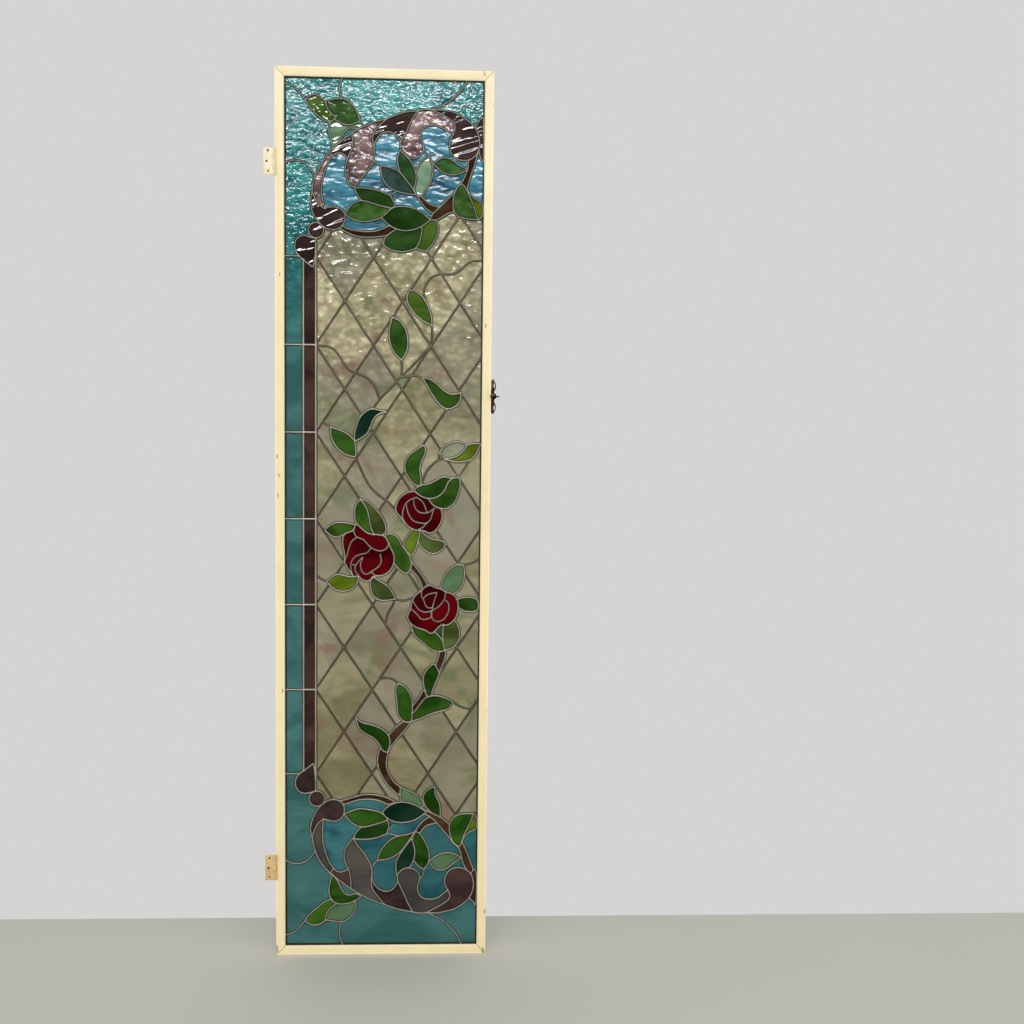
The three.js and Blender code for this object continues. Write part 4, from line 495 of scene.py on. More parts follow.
class Net:
    """The plane of the cartoon cut into triangles, each with the pane it belongs to."""

    def __init__(self):
        outlines = [trace(knots, True) for _, knots in PANES] + [np.array(k, float) for _, k in GROUNDS]
        kinds = [kind for kind, _ in PANES] + [kind for kind, _ in GROUNDS]
        lines = lines_of_the_ground()
        sight = np.array([[SIGHT, SIGHT], [LEAF_W - SIGHT, SIGHT], [LEAF_W - SIGHT, LEAF_H - SIGHT],
                          [SIGHT, LEAF_H - SIGHT]])
        points, edges, rule_of = [], [], []
        for rule, line, closed in ([("outline", o, True) for o in outlines + [sight]]
                                   + [(rule, line, False) for rule, line in lines]):
            first = len(points)
            points += [Vector((x, z)) for x, z in line]
            count = len(line)
            for i in range(count if closed else count - 1):
                edges.append((first + i, first + (i + 1) % count))
                rule_of.append(rule)
        cut = geometry.delaunay_2d_cdt(points, edges, [], 0, MEETING, True)
        self.points = np.array([tuple(p) for p in cut[0]])
        self.cells = np.array(cut[2])
        self.edge_rules = {}
        for (a, b), sources in zip(cut[1], cut[4]):
            rules = {rule_of[s] for s in sources if s < len(rule_of)}
            if rules:
                self.edge_rules[(min(a, b), max(a, b))] = rules
        middles = self.points[self.cells].mean(1)
        self.owner = np.full(len(middles), -1)
        for i in reversed(range(len(outlines))):
            self.owner[inside(outlines[i], middles)] = i
        self.owner[~inside(sight, middles)] = -1
        self.kinds = kinds
        self.sides = {}
        for t, (a, b, c) in enumerate(self.cells):
            for i, j in ((a, b), (b, c), (c, a)):
                self.sides.setdefault((min(i, j), max(i, j)), []).append(t)
        self.find_panes()
        self.merge_slips()

    def shown_rule(self, edge):
        """The rule by which an open line shows along this edge, if one does."""
        owners = {int(self.owner[t]) for t in self.sides[edge]}
        if -1 in owners:
            return None
        found = {self.kinds[o] for o in owners}
        for rule in self.edge_rules.get(edge, ()):
            if rule in SHOWS_ON and found <= SHOWS_ON[rule]:
                return rule
        return None

    def find_panes(self):
        """Triangles that meet at an edge without a lead are one pane."""
        parent = list(range(len(self.cells)))

        def root(i):
            while parent[i] != i:
                parent[i] = parent[parent[i]]
                i = parent[i]
            return i

        for edge, sides in self.sides.items():
            alike = len(sides) == 2 and self.owner[sides[0]] == self.owner[sides[1]]
            if alike and not self.shown_rule(edge):
                parent[root(sides[0])] = root(sides[1])
        roots = [root(i) for i in range(len(self.cells))]
        numbers = {r: i for i, r in enumerate(sorted(set(roots)))}
        self.pane = np.array([numbers[r] for r in roots])
        self.pane[self.owner < 0] = -1
        self.first_pane = self.pane.copy()

    def merge_slips(self):
        """Each slip joins the pane it shares the longest edge with."""
        a, b, c = [self.points[self.cells[:, i]] for i in range(3)]
        ab, ac = b - a, c - a
        area = 0.5 * abs(ab[:, 0] * ac[:, 1] - ab[:, 1] * ac[:, 0])
        for _ in range(MERGES):
            areas, shared = {}, {}
            for pane, size in zip(self.pane, area):
                areas[pane] = areas.get(pane, 0) + size
            for (i, j), sides in self.sides.items():
                panes = [self.pane[t] for t in sides]
                if len(panes) == 2 and panes[0] != panes[1]:
                    length = np.linalg.norm(self.points[i] - self.points[j])
                    for p, q in (panes, panes[::-1]):
                        row = shared.setdefault(p, {})
                        row[q] = row.get(q, 0) + length
            slips = [p for p in areas if p >= 0 and p in shared
                     and (areas[p] < LEAST_PANE or areas[p] / sum(shared[p].values()) < LEAST_BREADTH)]
            taken = set()
            for p in sorted(slips, key=lambda p: areas[p]):
                beside = {q: n for q, n in shared[p].items() if q >= 0 and q not in taken}
                if not beside:
                    continue
                q = max(beside, key=beside.get)
                into = self.owner[self.pane == q][0]
                self.owner[self.pane == p] = into
                self.pane[self.pane == p] = q
                taken.add(p)
            if not taken:
                break

    def leads(self):
        """Edges that carry a lead, with each lead's half width."""
        found = {}
        for edge, sides in self.sides.items():
            panes = [self.pane[t] for t in sides]
            if len(panes) < 2 or -1 in panes:
                continue
            rule = self.shown_rule(edge)
            ends = rule and len({int(self.first_pane[t]) for t in sides}) == 1
            if panes[0] == panes[1] and not ends:
                continue
            half = PETAL_HALF if rule == "petal" or self.in_lattice(edge) else LEAD_HALF
            xs = self.points[list(edge)][:, 0]
            for x in (STRIP_X, FIELD_X):
                if rule and abs(xs - x).max() < ON_LINE:
                    half = STRIP_HALF
            found[edge] = half
        return found

    def in_lattice(self, edge):
        """Whether a lead has the pale diamonds on both its sides."""
        return all(self.kinds[self.owner[t]] == "clear" for t in self.sides[edge])


# ---- Finishes ------------------------------------------------------------------------------------------
def shade(red, green, blue):
    """A colour as the eye names it, 0 to 255, in the values a shader takes."""
    parts = [c / 255 for c in (red, green, blue)]
    return tuple(c / 12.92 if c <= 0.04045 else ((c + 0.055) / 1.055) ** 2.4 for c in parts) + (1.0,)


class Recipe:
    """A material's nodes, written as sums: a value is plain or is another node's output."""

    def __init__(self, name):
        self.material = bpy.data.materials.new(name)
        self.material.use_nodes = True
        self.tree = self.material.node_tree
        self.tree.nodes.clear()
        out = self.tree.nodes.new("ShaderNodeOutputMaterial")
        self.skin = self.tree.nodes.new("ShaderNodeBsdfPrincipled")
        self.tree.links.new(self.skin.outputs[0], out.inputs["Surface"])
        self.place = self.tree.nodes.new("ShaderNodeTexCoord").outputs["Object"]

    def plug(self, socket, value):
        """A link, or a value of the socket's own."""
        if hasattr(value, "links"):
            self.tree.links.new(value, socket)
        else:
            socket.default_value = value

    def give(self, **values):
        """The surface's inputs, by name."""
        for name, value in values.items():
            self.plug(self.skin.inputs[name.replace("_", " ").title().replace("Ior", "IOR")], value)

    def math(self, operation, *values):
        made = self.tree.nodes.new("ShaderNodeMath")
        made.operation = operation
        for socket, value in zip(made.inputs, values):
            self.plug(socket, value)
        return made.outputs[0]

    def times(self, first, second):
        return self.math("MULTIPLY", first, second)

    def plus(self, first, second):
        return self.math("ADD", first, second)

    def less(self, first, second):
        return self.math("SUBTRACT", first, second)

    def rest(self, share):
        return self.math("SUBTRACT", 1.0, share)

    def least(self, first, second):
        return self.math("MINIMUM", first, second)

    def absolute(self, value):
        return self.math("ABSOLUTE", value)

    def vector(self, x, y, z):
        made = self.tree.nodes.new("ShaderNodeCombineXYZ")
        for socket, value in zip(made.inputs, (x, y, z)):
            self.plug(socket, value)
        return made.outputs[0]

    def vmath(self, operation, *values, out=0):
        made = self.tree.nodes.new("ShaderNodeVectorMath")
        made.operation = operation
        for socket, value in zip(made.inputs, values):
            self.plug(socket, value)
        return made.outputs[out]

    def split(self, vector):
        made = self.tree.nodes.new("ShaderNodeSeparateXYZ")
        self.plug(made.inputs[0], vector)
        return made.outputs

    def stretched(self, vector, scale, turn=0.0):
        """The place turned about y and then stretched."""
        for kind, value in (("Rotation", (0, turn, 0)), ("Scale", scale)):
            made = self.tree.nodes.new("ShaderNodeMapping")
            made.inputs[kind].default_value = value
            self.plug(made.inputs["Vector"], vector)
            vector = made.outputs[0]
        return vector

    def noise(self, vector, scale, detail=2.0, rough=0.5, warp=0.0):
        made = self.tree.nodes.new("ShaderNodeTexNoise")
        made.inputs["Scale"].default_value = scale
        made.inputs["Detail"].default_value = detail
        made.inputs["Roughness"].default_value = rough
        made.inputs["Distortion"].default_value = warp
        self.plug(made.inputs["Vector"], vector)
        return made.outputs["Fac"]

    def cells(self, vector, scale):
        made = self.tree.nodes.new("ShaderNodeTexVoronoi")
        made.feature = "SMOOTH_F1"
        made.inputs["Scale"].default_value = scale
        self.plug(made.inputs["Vector"], vector)
        return made.outputs["Distance"]

    def between(self, value, low, high):
        """0 below low, 1 above high, eased in between."""
        made = self.tree.nodes.new("ShaderNodeMapRange")
        made.interpolation_type = "SMOOTHSTEP"
        self.plug(made.inputs["Value"], value)
        made.inputs["From Min"].default_value = low
        made.inputs["From Max"].default_value = high
        return made.outputs["Result"]

    def scaled(self, value, low, high):
        """A 0 to 1 value as low to high."""
        made = self.tree.nodes.new("ShaderNodeMapRange")
        self.plug(made.inputs["Value"], value)
        made.inputs["To Min"].default_value = low
        made.inputs["To Max"].default_value = high
        return made.outputs["Result"]

    def mix(self, share, first, second, way="MIX"):
        made = self.tree.nodes.new("ShaderNodeMix")
        made.data_type = "RGBA"
        made.blend_type = way
        self.plug(made.inputs[0], share)
        self.plug(made.inputs[6], first)
        self.plug(made.inputs[7], second)
        return made.outputs[2]

    def dimmed(self, tone, share):
        """A tone times a share of its light."""
        return self.mix(1.0, tone, self.vector(share, share, share), "MULTIPLY")

    def attribute(self, name):
        made = self.tree.nodes.new("ShaderNodeAttribute")
        made.attribute_name = name
        return made.outputs["Fac"]

    def bump(self, height, strength, depth):
        made = self.tree.nodes.new("ShaderNodeBump")
        self.plug(made.inputs["Strength"], strength)
        made.inputs["Distance"].default_value = depth * MM
        self.plug(made.inputs["Height"], height)
        return made.outputs[0]


def leaf_place(r):
    """x, y and z of the leaf in millimetres, from Object coordinates."""
    return r.vmath("MULTIPLY", r.vmath("SUBTRACT", r.place, tuple(LEAF_ZERO)), (1 / MM, 1 / MM, 1 / MM))


def glass(name, deep, pale, top=None, climb=(1.3, 1.95), see=0.25, rough=0.07, ripple=75, stretch=1.8,
          slant=0.0, relief=0.8, calm=0.3, streaks=9, spread=0.3, detail=1.5, other=None, hammer=0.0,
          blooms=()):
    """Cathedral glass: rolled ripples on its face, cloudy streaks of two tones in its depth, and a tone of
    its own for every pane. Up the leaf, over climb, it turns to its top tones, painted light from above:
    livelier and mostly paler, with a painted sheen on the ripples' crests; its ripples grow from calm to
    full there too. Some panes lean to the other tone, hammer adds round dents with painted shade and
    highlight over them up the leaf, and each of the blooms is a faint wash of a tone of its own."""
    r = Recipe(name)
    tint, turn = r.attribute("tint"), r.attribute("turn")
    shifted = r.vmath("ADD", r.place, r.vector(r.times(turn, 3.1), 0.0, r.times(tint, 2.3)))
    rolled = r.stretched(shifted, (1 / stretch, 1, 1), slant)
    waves = r.noise(rolled, ripple, detail, 0.45, 0.5)
    fine = r.noise(rolled, ripple * 2.7, 1.0)
    clouds = r.between(r.noise(r.stretched(shifted, (0.6, 1, 1.2)), streaks, 3.0, 0.55, 1.2), 0.36, 0.64)
    rise = r.between(r.split(r.place)[2], *(LEAF_ZERO.z + z for z in climb))
    tone = r.mix(clouds, deep, pale)
    wisp = r.noise(r.stretched(shifted, (0.35, 1, 1.6)), 60, 3.0, 0.6, 0.8)
    tone = r.dimmed(tone, r.scaled(wisp, 0.78, 1.22))
    # the top tones are painted light from above: livelier and mostly paler, with painted sheen on the
    # ripple crests
    if top:
        clouds_and_ripple_sheen = r.plus(r.times(clouds, 0.5), r.times(r.between(waves, 0.4, 0.62), 0.5))
        tone = r.mix(rise, tone, r.mix(clouds_and_ripple_sheen, *top))
    if other:
        tone = r.mix(r.times(r.between(turn, 0.3, 0.95), 0.7), tone, other)
    for turned, bloom in enumerate(blooms):
        moved = r.vmath("ADD", r.place, (0, 0, 7.0 + 5.0 * turned))
        wash = r.noise(r.stretched(moved, (1, 1, 1.3)), 9, 3.0, 0.6, 0.6)
        tone = r.mix(r.times(r.between(wash, 0.52, 0.72), 0.75), tone, bloom)
    tone = r.dimmed(tone, r.scaled(tint, 1 - spread, 1 + spread * 0.6))
    height = r.plus(waves, r.times(fine, 0.15))
    if hammer:
        dents = r.cells(r.stretched(shifted, (0.75, 1, 1)), 78)
        height = r.plus(height, r.times(dents, hammer))
        # painted shade and highlight over the dents, growing up the leaf
        painted_dent_shade = r.times(r.less(r.between(dents, 0.1, 0.6), 0.45), rise)
        tone = r.dimmed(tone, r.rest(r.times(painted_dent_shade, 0.42)))
    r.give(base_color=tone, roughness=rough, ior=1.5, transmission_weight=see,
           normal=r.bump(height, r.scaled(rise, calm, 1), relief))
    return r.material


GLASSES = {
    "plum": glass("plum glass", shade(55, 40, 40), shade(74, 56, 54), see=0.12, ripple=44, stretch=6,
                  slant=math.radians(20), relief=8, rough=0.05, detail=0.8),
    "strip": glass("dark strip glass", shade(52, 35, 32), shade(76, 56, 51), see=0.12, ripple=60),
    "mauve": glass("mauve glass", shade(72, 68, 64), shade(86, 82, 76), see=0.15, ripple=58, stretch=1.2,
                   relief=3.4, top=(shade(84, 60, 62), shade(150, 120, 118)), rough=0.2),
    "teal": glass("teal glass", shade(60, 105, 103), shade(79, 127, 125), relief=3.4, ripple=112,
                  stretch=1.7, calm=0.1, top=(shade(6, 92, 100), shade(78, 176, 174)), spread=0.12,
                  rough=0.05),
    "blue": glass("blue glass", shade(38, 96, 106), shade(68, 125, 128), relief=4.5, ripple=52, stretch=2.2,
                  rough=0.22, top=(shade(16, 90, 120), shade(88, 182, 208)), spread=0.2),
    "clear": glass("hammered pale glass", shade(140, 134, 98), shade(178, 171, 136), see=0.7, rough=0.17,
                   ripple=60, stretch=1.6, relief=3.0, calm=0.2, climb=(0.9, 1.6), spread=0.08, streaks=7,
                   hammer=0.8, top=(shade(170, 162, 120), shade(226, 218, 182)), other=shade(164, 160, 140),
                   blooms=(shade(122, 138, 92), shade(150, 118, 98))),
    "rose_red": glass("red glass", shade(60, 0, 3), shade(102, 2, 10), spread=0.3),
    "stem": glass("brown glass", shade(52, 32, 18), shade(84, 60, 40), see=0.1),
    "teal_leaf": glass("blue green glass", shade(18, 50, 34), shade(36, 68, 50),
                       top=(shade(42, 66, 60), shade(66, 90, 82))),
    "mid_green": glass("mid green glass", shade(34, 68, 14), shade(70, 108, 34),
                       top=(shade(40, 82, 36), shade(80, 124, 78))),
    "pale_green": glass("pale green glass", shade(88, 120, 76), shade(114, 148, 112), relief=6, ripple=32,
                        stretch=3, top=(shade(94, 134, 100), shade(166, 192, 164))),
    "dark_green": glass("dark green glass", shade(32, 64, 22), shade(60, 96, 46), spread=0.2),
    "leaf_green": glass("leaf green glass", shade(32, 70, 15), shade(60, 100, 34),
                        top=(shade(48, 92, 34), shade(104, 144, 78))),
    "bright_green": glass("bright green glass", shade(66, 98, 28), shade(100, 132, 56), relief=1,
                          ripple=110, spread=0.15),
    "olive_green": glass("olive green glass", shade(76, 96, 8), shade(116, 138, 40), spread=0.2),
    "frost_green": glass("frosted green glass", shade(130, 138, 114), shade(154, 158, 134)),
    "sage_green": glass("sage green glass", shade(56, 70, 28), shade(90, 108, 56), spread=0.2),
}


def lead_finish():
    """Lead came: grey along its crown and dark with cement along its foot, with painted shade: darker at
    the head, darker and browner in the lattice.
    """
    r = Recipe("lead")
    middle = (GLASS_FRONT + GLASS_BACK) / 2
    y = r.split(leaf_place(r))[1]
    out = r.absolute(r.less(y, middle))
    foot = (GLASS_BACK - GLASS_FRONT) / 2
    grime = r.noise(r.place, 220, 4.0, 0.6)
    crown = r.between(r.plus(out, r.scaled(grime, -0.3, 0.3)), foot + 0.9, foot + 1.35)
    patina_and_head_shade = r.mix(r.noise(r.place, 14, 3.0), shade(140, 134, 118), shade(196, 190, 172))
    # painted shade: the leads turn darker up at the head
    high = r.between(r.split(leaf_place(r))[2], 1500, 1760)
    patina_and_head_shade = r.mix(high, patina_and_head_shade, r.mix(r.noise(r.place, 90, 3.0), shade(84, 86, 72), shade(150, 148, 132)))
    # painted shade: darker and browner where the leads lie in the lattice
    brown = r.mix(r.noise(r.place, 20, 3.0), shade(96, 84, 62), shade(150, 140, 116))
    tone = r.mix(crown, shade(30, 25, 18), r.mix(r.attribute("lattice"), patina_and_head_shade, brown))
    r.give(base_color=tone, metallic=0.35, roughness=r.scaled(grime, 0.35, 0.6),
           normal=r.bump(grime, 0.35, 0.4))
    return r.material


# Where the paint is knocked through: x, z and size, in millimetres of the leaf.
KNOCKS = [(498, 103, 1.8), (6, 1102, 1.2), (9, 1148, 0.8), (4, 1192, 1.3), (2, 14, 2.6), (495, 5, 2.8),
          (478, 2074, 1.4), (16, 640, 1), (486, 1502, 1.2), (11, 1611, 1)]


def darker(colour, share):
    return tuple(share * c for c in colour[:3]) + (1.0,)


def paint_finish(name, grain, body, edge, under):
    """Old cream paint on wood: brushed along the grain, paler at its edges as a painted highlight, chipped
    and knocked, and open at the mitres."""
    r = Recipe(name)
    where = leaf_place(r)
    x, y, z = r.split(where)
    beside = r.least(x, r.less(LEAF_W, x))
    above = r.least(z, r.less(LEAF_H, z))
    u = r.least(beside, above)
    across = r.least(r.absolute(u), r.absolute(r.less(u, FRAME_FACE)))
    through = r.least(r.absolute(y), r.absolute(r.less(FRAME_DEPTH, y)))
    rim = r.vmath("LENGTH", r.vector(across, through, 0.0), out=1)
    brushed = r.noise(r.stretched(r.place, grain), 300, 3.0, 0.6)
    blotch = r.noise(r.place, 9, 4.0, 0.6)
    speck = r.noise(r.place, 160, 4.0, 0.65)
    tone = r.mix(r.between(blotch, 0.35, 0.7), body, darker(body, 0.93))
    tone = r.mix(r.times(r.between(brushed, 0.55, 0.75), 0.25), tone, darker(body, 0.8))
    # a painted highlight: paler cream along every edge
    near = r.rest(r.between(rim, 0.6, 3.0))
    tone = r.mix(r.times(near, 0.8), tone, edge)
    mitre = r.rest(r.between(r.absolute(r.less(beside, above)), 0.3, 1.1))
    gap = r.times(mitre, r.scaled(r.between(z, 0, 900), 0.85, 0.35))
    tone = r.mix(gap, tone, shade(104, 76, 44))
    chip = r.between(r.plus(speck, r.times(near, 0.16)), 0.78, 0.81)
    tone = r.mix(chip, tone, under)
    for spot_x, spot_z, size in KNOCKS:
        away = r.vmath("LENGTH", r.vmath("MULTIPLY", r.vmath("SUBTRACT", where, (spot_x, 0.0, spot_z)),
                                         (1.0, 0.15, 0.35)), out=1)
        mark = r.rest(r.between(r.less(away, r.scaled(speck, 0, 2.0)), size * 0.5, size))
        tone = r.mix(r.times(mark, 0.6), tone, shade(112, 84, 52))
    bumpy = r.plus(r.times(brushed, 0.6), r.times(r.rest(chip), 0.8))
    r.give(base_color=tone, roughness=r.scaled(blotch, 0.38, 0.6), normal=r.bump(bumpy, 0.35, 0.5))
    return r.material


def metal_finish(name, body, worn, paint=None, metallic=0.9, rough=(0.3, 0.55), chips=0.55):
    """Old hardware: tarnish in blotches, rubbed bright in places, under what is left of its paint."""
    r = Recipe(name)
    blotch = r.noise(r.place, 60, 4.0, 0.6)
    speck = r.noise(r.place, 520, 4.0, 0.6, 0.4)
    tone = r.mix(r.between(blotch, 0.4, 0.65), body, worn)
    if paint:
        left = r.between(speck, chips - 0.02, chips + 0.02)
        tone = r.mix(left, paint, tone)
        r.give(metallic=r.times(left, metallic))
    else:
        r.give(metallic=metallic)
    r.give(base_color=tone, roughness=r.scaled(blotch, *rough), normal=r.bump(speck, 0.3, 0.4))
    return r.material


CREAM = shade(246, 228, 180)
CREAM_EDGE_HIGHLIGHT = shade(255, 251, 226)
UNDERCOAT = shade(176, 140, 92)
LEAD = lead_finish()
# near black: the edge lead's putty, and painted shadow in the rebate
REBATE_PUTTY_AND_SHADOW = metal_finish("rebate putty", shade(20, 19, 16), shade(44, 41, 36), metallic=0, rough=(0.7, 0.9))
STILE_PAINT = paint_finish("stile paint", (1, 1, 0.03), CREAM, CREAM_EDGE_HIGHLIGHT, UNDERCOAT)
RAIL_PAINT = paint_finish("rail paint", (0.03, 1, 1), CREAM, CREAM_EDGE_HIGHLIGHT, UNDERCOAT)
UPPER_HINGE = metal_finish("painted hinge", shade(120, 100, 70), shade(160, 144, 112), shade(242, 226, 186),
                           metallic=0.5, chips=0.64)
LOWER_HINGE = metal_finish("tarnished hinge", shade(150, 106, 52), shade(196, 156, 92),
                           shade(232, 198, 140), metallic=0.4)
LATCH_BRASS = metal_finish("antique brass", shade(58, 42, 26), shade(122, 92, 52))
# a dark fill for the stubs in the plates' holes
HOLE_DARK_FILL = metal_finish("rust and old paint", shade(44, 32, 18), shade(84, 64, 38), metallic=0.2,
                         rough=(0.6, 0.85))


# ---- Making pieces -------------------------------------------------------------------------------------
def shown(name, mesh):
    """A mesh as a piece of the scene."""
    piece = bpy.data.objects.new(name, mesh)
    bpy.context.scene.collection.objects.link(piece)
    return piece


def new_piece(name, points, faces, material):
    """A mesh piece from points in the frame's metres."""
    mesh = bpy.data.meshes.new(name)
    mesh.from_pydata([tuple(p) for p in points], [], faces)
    mesh.materials.append(material)
    return shown(name, mesh)


def glass_sheets(net):
    """The panes of each glass as one piece, every pane a slip of glass of its own with its own tint."""
    tints = np.random.default_rng(SEED).random((int(net.pane.max()) + 1, 2))
    made = {}
    for kind in sorted(set(net.kinds)):
        points, faces, tint, turn = [], [], [], []
        own = [i for i, k in enumerate(net.kinds) if k == kind]
        for pane in sorted(set(net.pane[np.isin(net.owner, own)])):
            cells = net.cells[net.pane == pane]
            used, local = np.unique(cells, return_inverse=True)
            local = local.reshape(cells.shape)
            flat = net.points[used].copy()
            sides = {}
            for a, b, c in local:
                for i, j in ((a, b), (b, c), (c, a)):
                    sides[(i, j)] = sides.get((i, j), 0) + 1
            rim = [(i, j) for (i, j) in sides if (j, i) not in sides]
            inward = np.zeros_like(flat)
            for i, j in rim:
                along = flat[j] - flat[i]
                across = np.array([-along[1], along[0]]) / max(np.linalg.norm(along), TOUCHING)
                inward[i] += across
                inward[j] += across
            size = np.linalg.norm(inward, axis=1, keepdims=True)
            flat += np.where(size > SHARPEST, inward / np.maximum(size, SHARPEST), 0) * HEART
            first = len(points)
            count = len(flat)
            points += [leaf_point(x, GLASS_FRONT, z) for x, z in flat]
            points += [leaf_point(x, GLASS_BACK, z) for x, z in flat]
            faces += [(first + a, first + b, first + c) for a, b, c in local]
            faces += [(first + count + c, first + count + b, first + count + a) for a, b, c in local]
            faces += [(first + j, first + i, first + count + i, first + count + j) for i, j in rim]
            tint += [tints[pane, 0]] * (2 * count)
            turn += [tints[pane, 1]] * (2 * count)
        if not faces:
            continue
        piece = new_piece("panes_" + kind, points, faces, GLASSES[kind])
        for name, values in (("tint", tint), ("turn", turn)):
            layer = piece.data.attributes.new(name, "FLOAT", "POINT")
            layer.data.foreach_set("value", values)
        made[kind] = piece
    return made


def eased(lines, points, times=2):
    """Runs of the net between its joints, smoothed, and every point's neighbours along them."""
    beside = {}
    for a, b in lines:
        beside.setdefault(a, set()).add(b)
        beside.setdefault(b, set()).add(a)
    at = points.copy()
    for _ in range(times):
        before = at.copy()
        for i, others in beside.items():
            if len(others) == 2:
                a, b = others
                at[i] = 0.5 * before[i] + 0.25 * (before[a] + before[b])
    return at, beside


class Weave:
    """A Geometry Nodes tree: its inputs by name, its nodes, and a finished mesh at its end."""

    def __init__(self, name, sizes, vector):
        self.tree = bpy.data.node_groups.new(name, "GeometryNodeTree")
        face = self.tree.interface
        face.new_socket("Geometry", in_out="INPUT", socket_type="NodeSocketGeometry")
        for title, value in sizes.items():
            face.new_socket(title, in_out="INPUT", socket_type="NodeSocketFloat").default_value = value
        face.new_socket("Seed", in_out="INPUT", socket_type="NodeSocketInt").default_value = SEED
        face.new_socket(vector, in_out="INPUT", socket_type="NodeSocketVector")
        face.new_socket("Geometry", in_out="OUTPUT", socket_type="NodeSocketGeometry")
        self.given = self.tree.nodes.new("NodeGroupInput").outputs

    def node(self, kind, plugs, out=0, **settings):
        """A new node's output, or all of them, with its inputs linked or set by name or number."""
        made = self.tree.nodes.new(kind)
        for key, value in settings.items():
            setattr(made, key, value)
        for socket, value in plugs.items():
            for source in value if isinstance(value, list) else [value]:
                if hasattr(source, "links"):
                    self.tree.links.new(source, made.inputs[socket])
                else:
                    made.inputs[socket].default_value = source
        return made.outputs if out is None else made.outputs[out]

    def math(self, operation, *values):
        return self.node("ShaderNodeMath", dict(enumerate(values)), operation=operation)

    def xyz(self, **parts):
        return self.node("ShaderNodeCombineXYZ", parts)

    def finished(self, shape, material):
        """The tree, ended with smooth shading and its material."""
        smooth = self.node("GeometryNodeSetShadeSmooth", {"Geometry": shape})
        coated = self.node("GeometryNodeSetMaterial", {"Geometry": smooth, "Material": material})
        self.tree.links.new(coated, self.tree.nodes.new("NodeGroupOutput").inputs["Geometry"])
        return self.tree


def lead_tree(material):
    """A net of lines lying flat, x and y, becomes rounded leads that rise in z with a lump of solder at
    every joint, and is then stood up by a turn about x."""
    w = Weave("leads", {"Rise": LEAD_RISE * MM, "Solder Size": SOLDER_SIZE, "Cement": CEMENT_FOOT,
                        "Turn": math.pi / 2}, "Lift")
    given = w.given
    half = w.node("GeometryNodeInputNamedAttribute", {"Name": "half"}, data_type="FLOAT")
    joint = w.node("GeometryNodeInputNamedAttribute", {"Name": "joint"}, data_type="BOOLEAN")
    lines = w.node("GeometryNodeMeshToCurve", {"Mesh": given["Geometry"]})
    upright = w.node("GeometryNodeSetCurveNormal", {"Curve": lines}, mode="Z_UP")

    # The section: a half round on a wider foot of cement, flat where it lies on the glass. Its height is in
    # units of the half width.
    ring = w.node("GeometryNodeCurvePrimitiveCircle", {"Resolution": LEAD_SIDES, "Radius": 1})
    where = w.node("GeometryNodeInputPosition", {})
    across, up, _ = w.node("ShaderNodeSeparateXYZ", {0: where}, out=None)
    above = w.math("MINIMUM", up, 0)
    tall = w.math("MULTIPLY", above, w.math("DIVIDE", given["Rise"], LEAD_HALF * MM))
    low = w.math("COMPARE", above, 0, 0.01)
    wide = w.math("MULTIPLY", across, w.math("MULTIPLY_ADD", low, given["Cement"], 1))
    section = w.node("GeometryNodeSetPosition", {"Geometry": ring, "Position": w.xyz(X=wide, Y=tall)})
    sweep = w.node("GeometryNodeCurveToMesh",
                   {"Curve": upright, "Profile Curve": section, "Scale": half, "Fill Caps": True})

    lump = w.node("GeometryNodeMeshIcoSphere", {"Radius": 1, "Subdivisions": 2})
    uneven = w.node("FunctionNodeRandomValue", {"Min": (0.85, 0.85, 1.0), "Max": (1.2, 1.2, 1.25),
                                                "Seed": given["Seed"]}, data_type="FLOAT_VECTOR")
    spin = w.node("FunctionNodeRandomValue", {3: 2 * math.pi, "Seed": given["Seed"]}, out=1)
    broad = w.math("MULTIPLY", half, given["Solder Size"])
    size = w.node("ShaderNodeVectorMath", {0: w.xyz(X=broad, Y=broad, Z=given["Rise"]), 1: uneven},
                  operation="MULTIPLY")
    points = w.node("GeometryNodeMeshToPoints", {"Mesh": given["Geometry"], "Selection": joint})
    solder = w.node("GeometryNodeInstanceOnPoints",
                    {"Points": points, "Instance": lump, "Rotation": w.xyz(Z=spin), "Scale": size})

    both = w.node("GeometryNodeJoinGeometry", {"Geometry": [sweep, solder]})
    real = w.node("GeometryNodeRealizeInstances", {"Geometry": both})
    stood = w.node("GeometryNodeTransform", {"Geometry": real, "Rotation": w.xyz(X=given["Turn"]),
                                             "Translation": given["Lift"]})
    return w.finished(stood, material)


def stub_tree(material):
    """A low domed stub at every point, each of a slightly different size, and all lying the same way."""
    w = Weave("stubs", {"Radius": STUB_RADIUS * MM, "Depth": STUB_DEPTH * MM}, "Lie")
    given = w.given
    lump = w.node("GeometryNodeMeshUVSphere", {"Segments": 16, "Rings": 8, "Radius": 1})
    span = w.node("FunctionNodeRandomValue", {2: 0.9, 3: 1.15, "Seed": given["Seed"]}, out=1)
    wide = w.math("MULTIPLY", given["Radius"], span)
    spots = w.node("GeometryNodeInstanceOnPoints",
                   {"Points": given["Geometry"], "Instance": lump, "Rotation": given["Lie"],
                    "Scale": w.xyz(X=wide, Y=wide, Z=given["Depth"])})
    return w.finished(w.node("GeometryNodeRealizeInstances", {"Geometry": spots}), material)


def baked(piece):
    """The piece with its modifiers made real, as a plain mesh."""
    seen = piece.evaluated_get(bpy.context.evaluated_depsgraph_get())
    mesh = bpy.data.meshes.new_from_object(seen)
    piece.modifiers.clear()
    piece.data = mesh
    return piece


def woven(name, mesh, tree, **inputs):
    """A mesh taken through a tree, as a plain piece."""
    piece = shown(name, mesh)
    modifier = piece.modifiers.new(tree.name, "NODES")
    modifier.node_group = tree
    for item in tree.interface.items_tree:
        if item.item_type == "SOCKET" and item.in_out == "INPUT" and item.name in inputs:
            modifier[item.identifier] = inputs[item.name]
    return baked(piece)


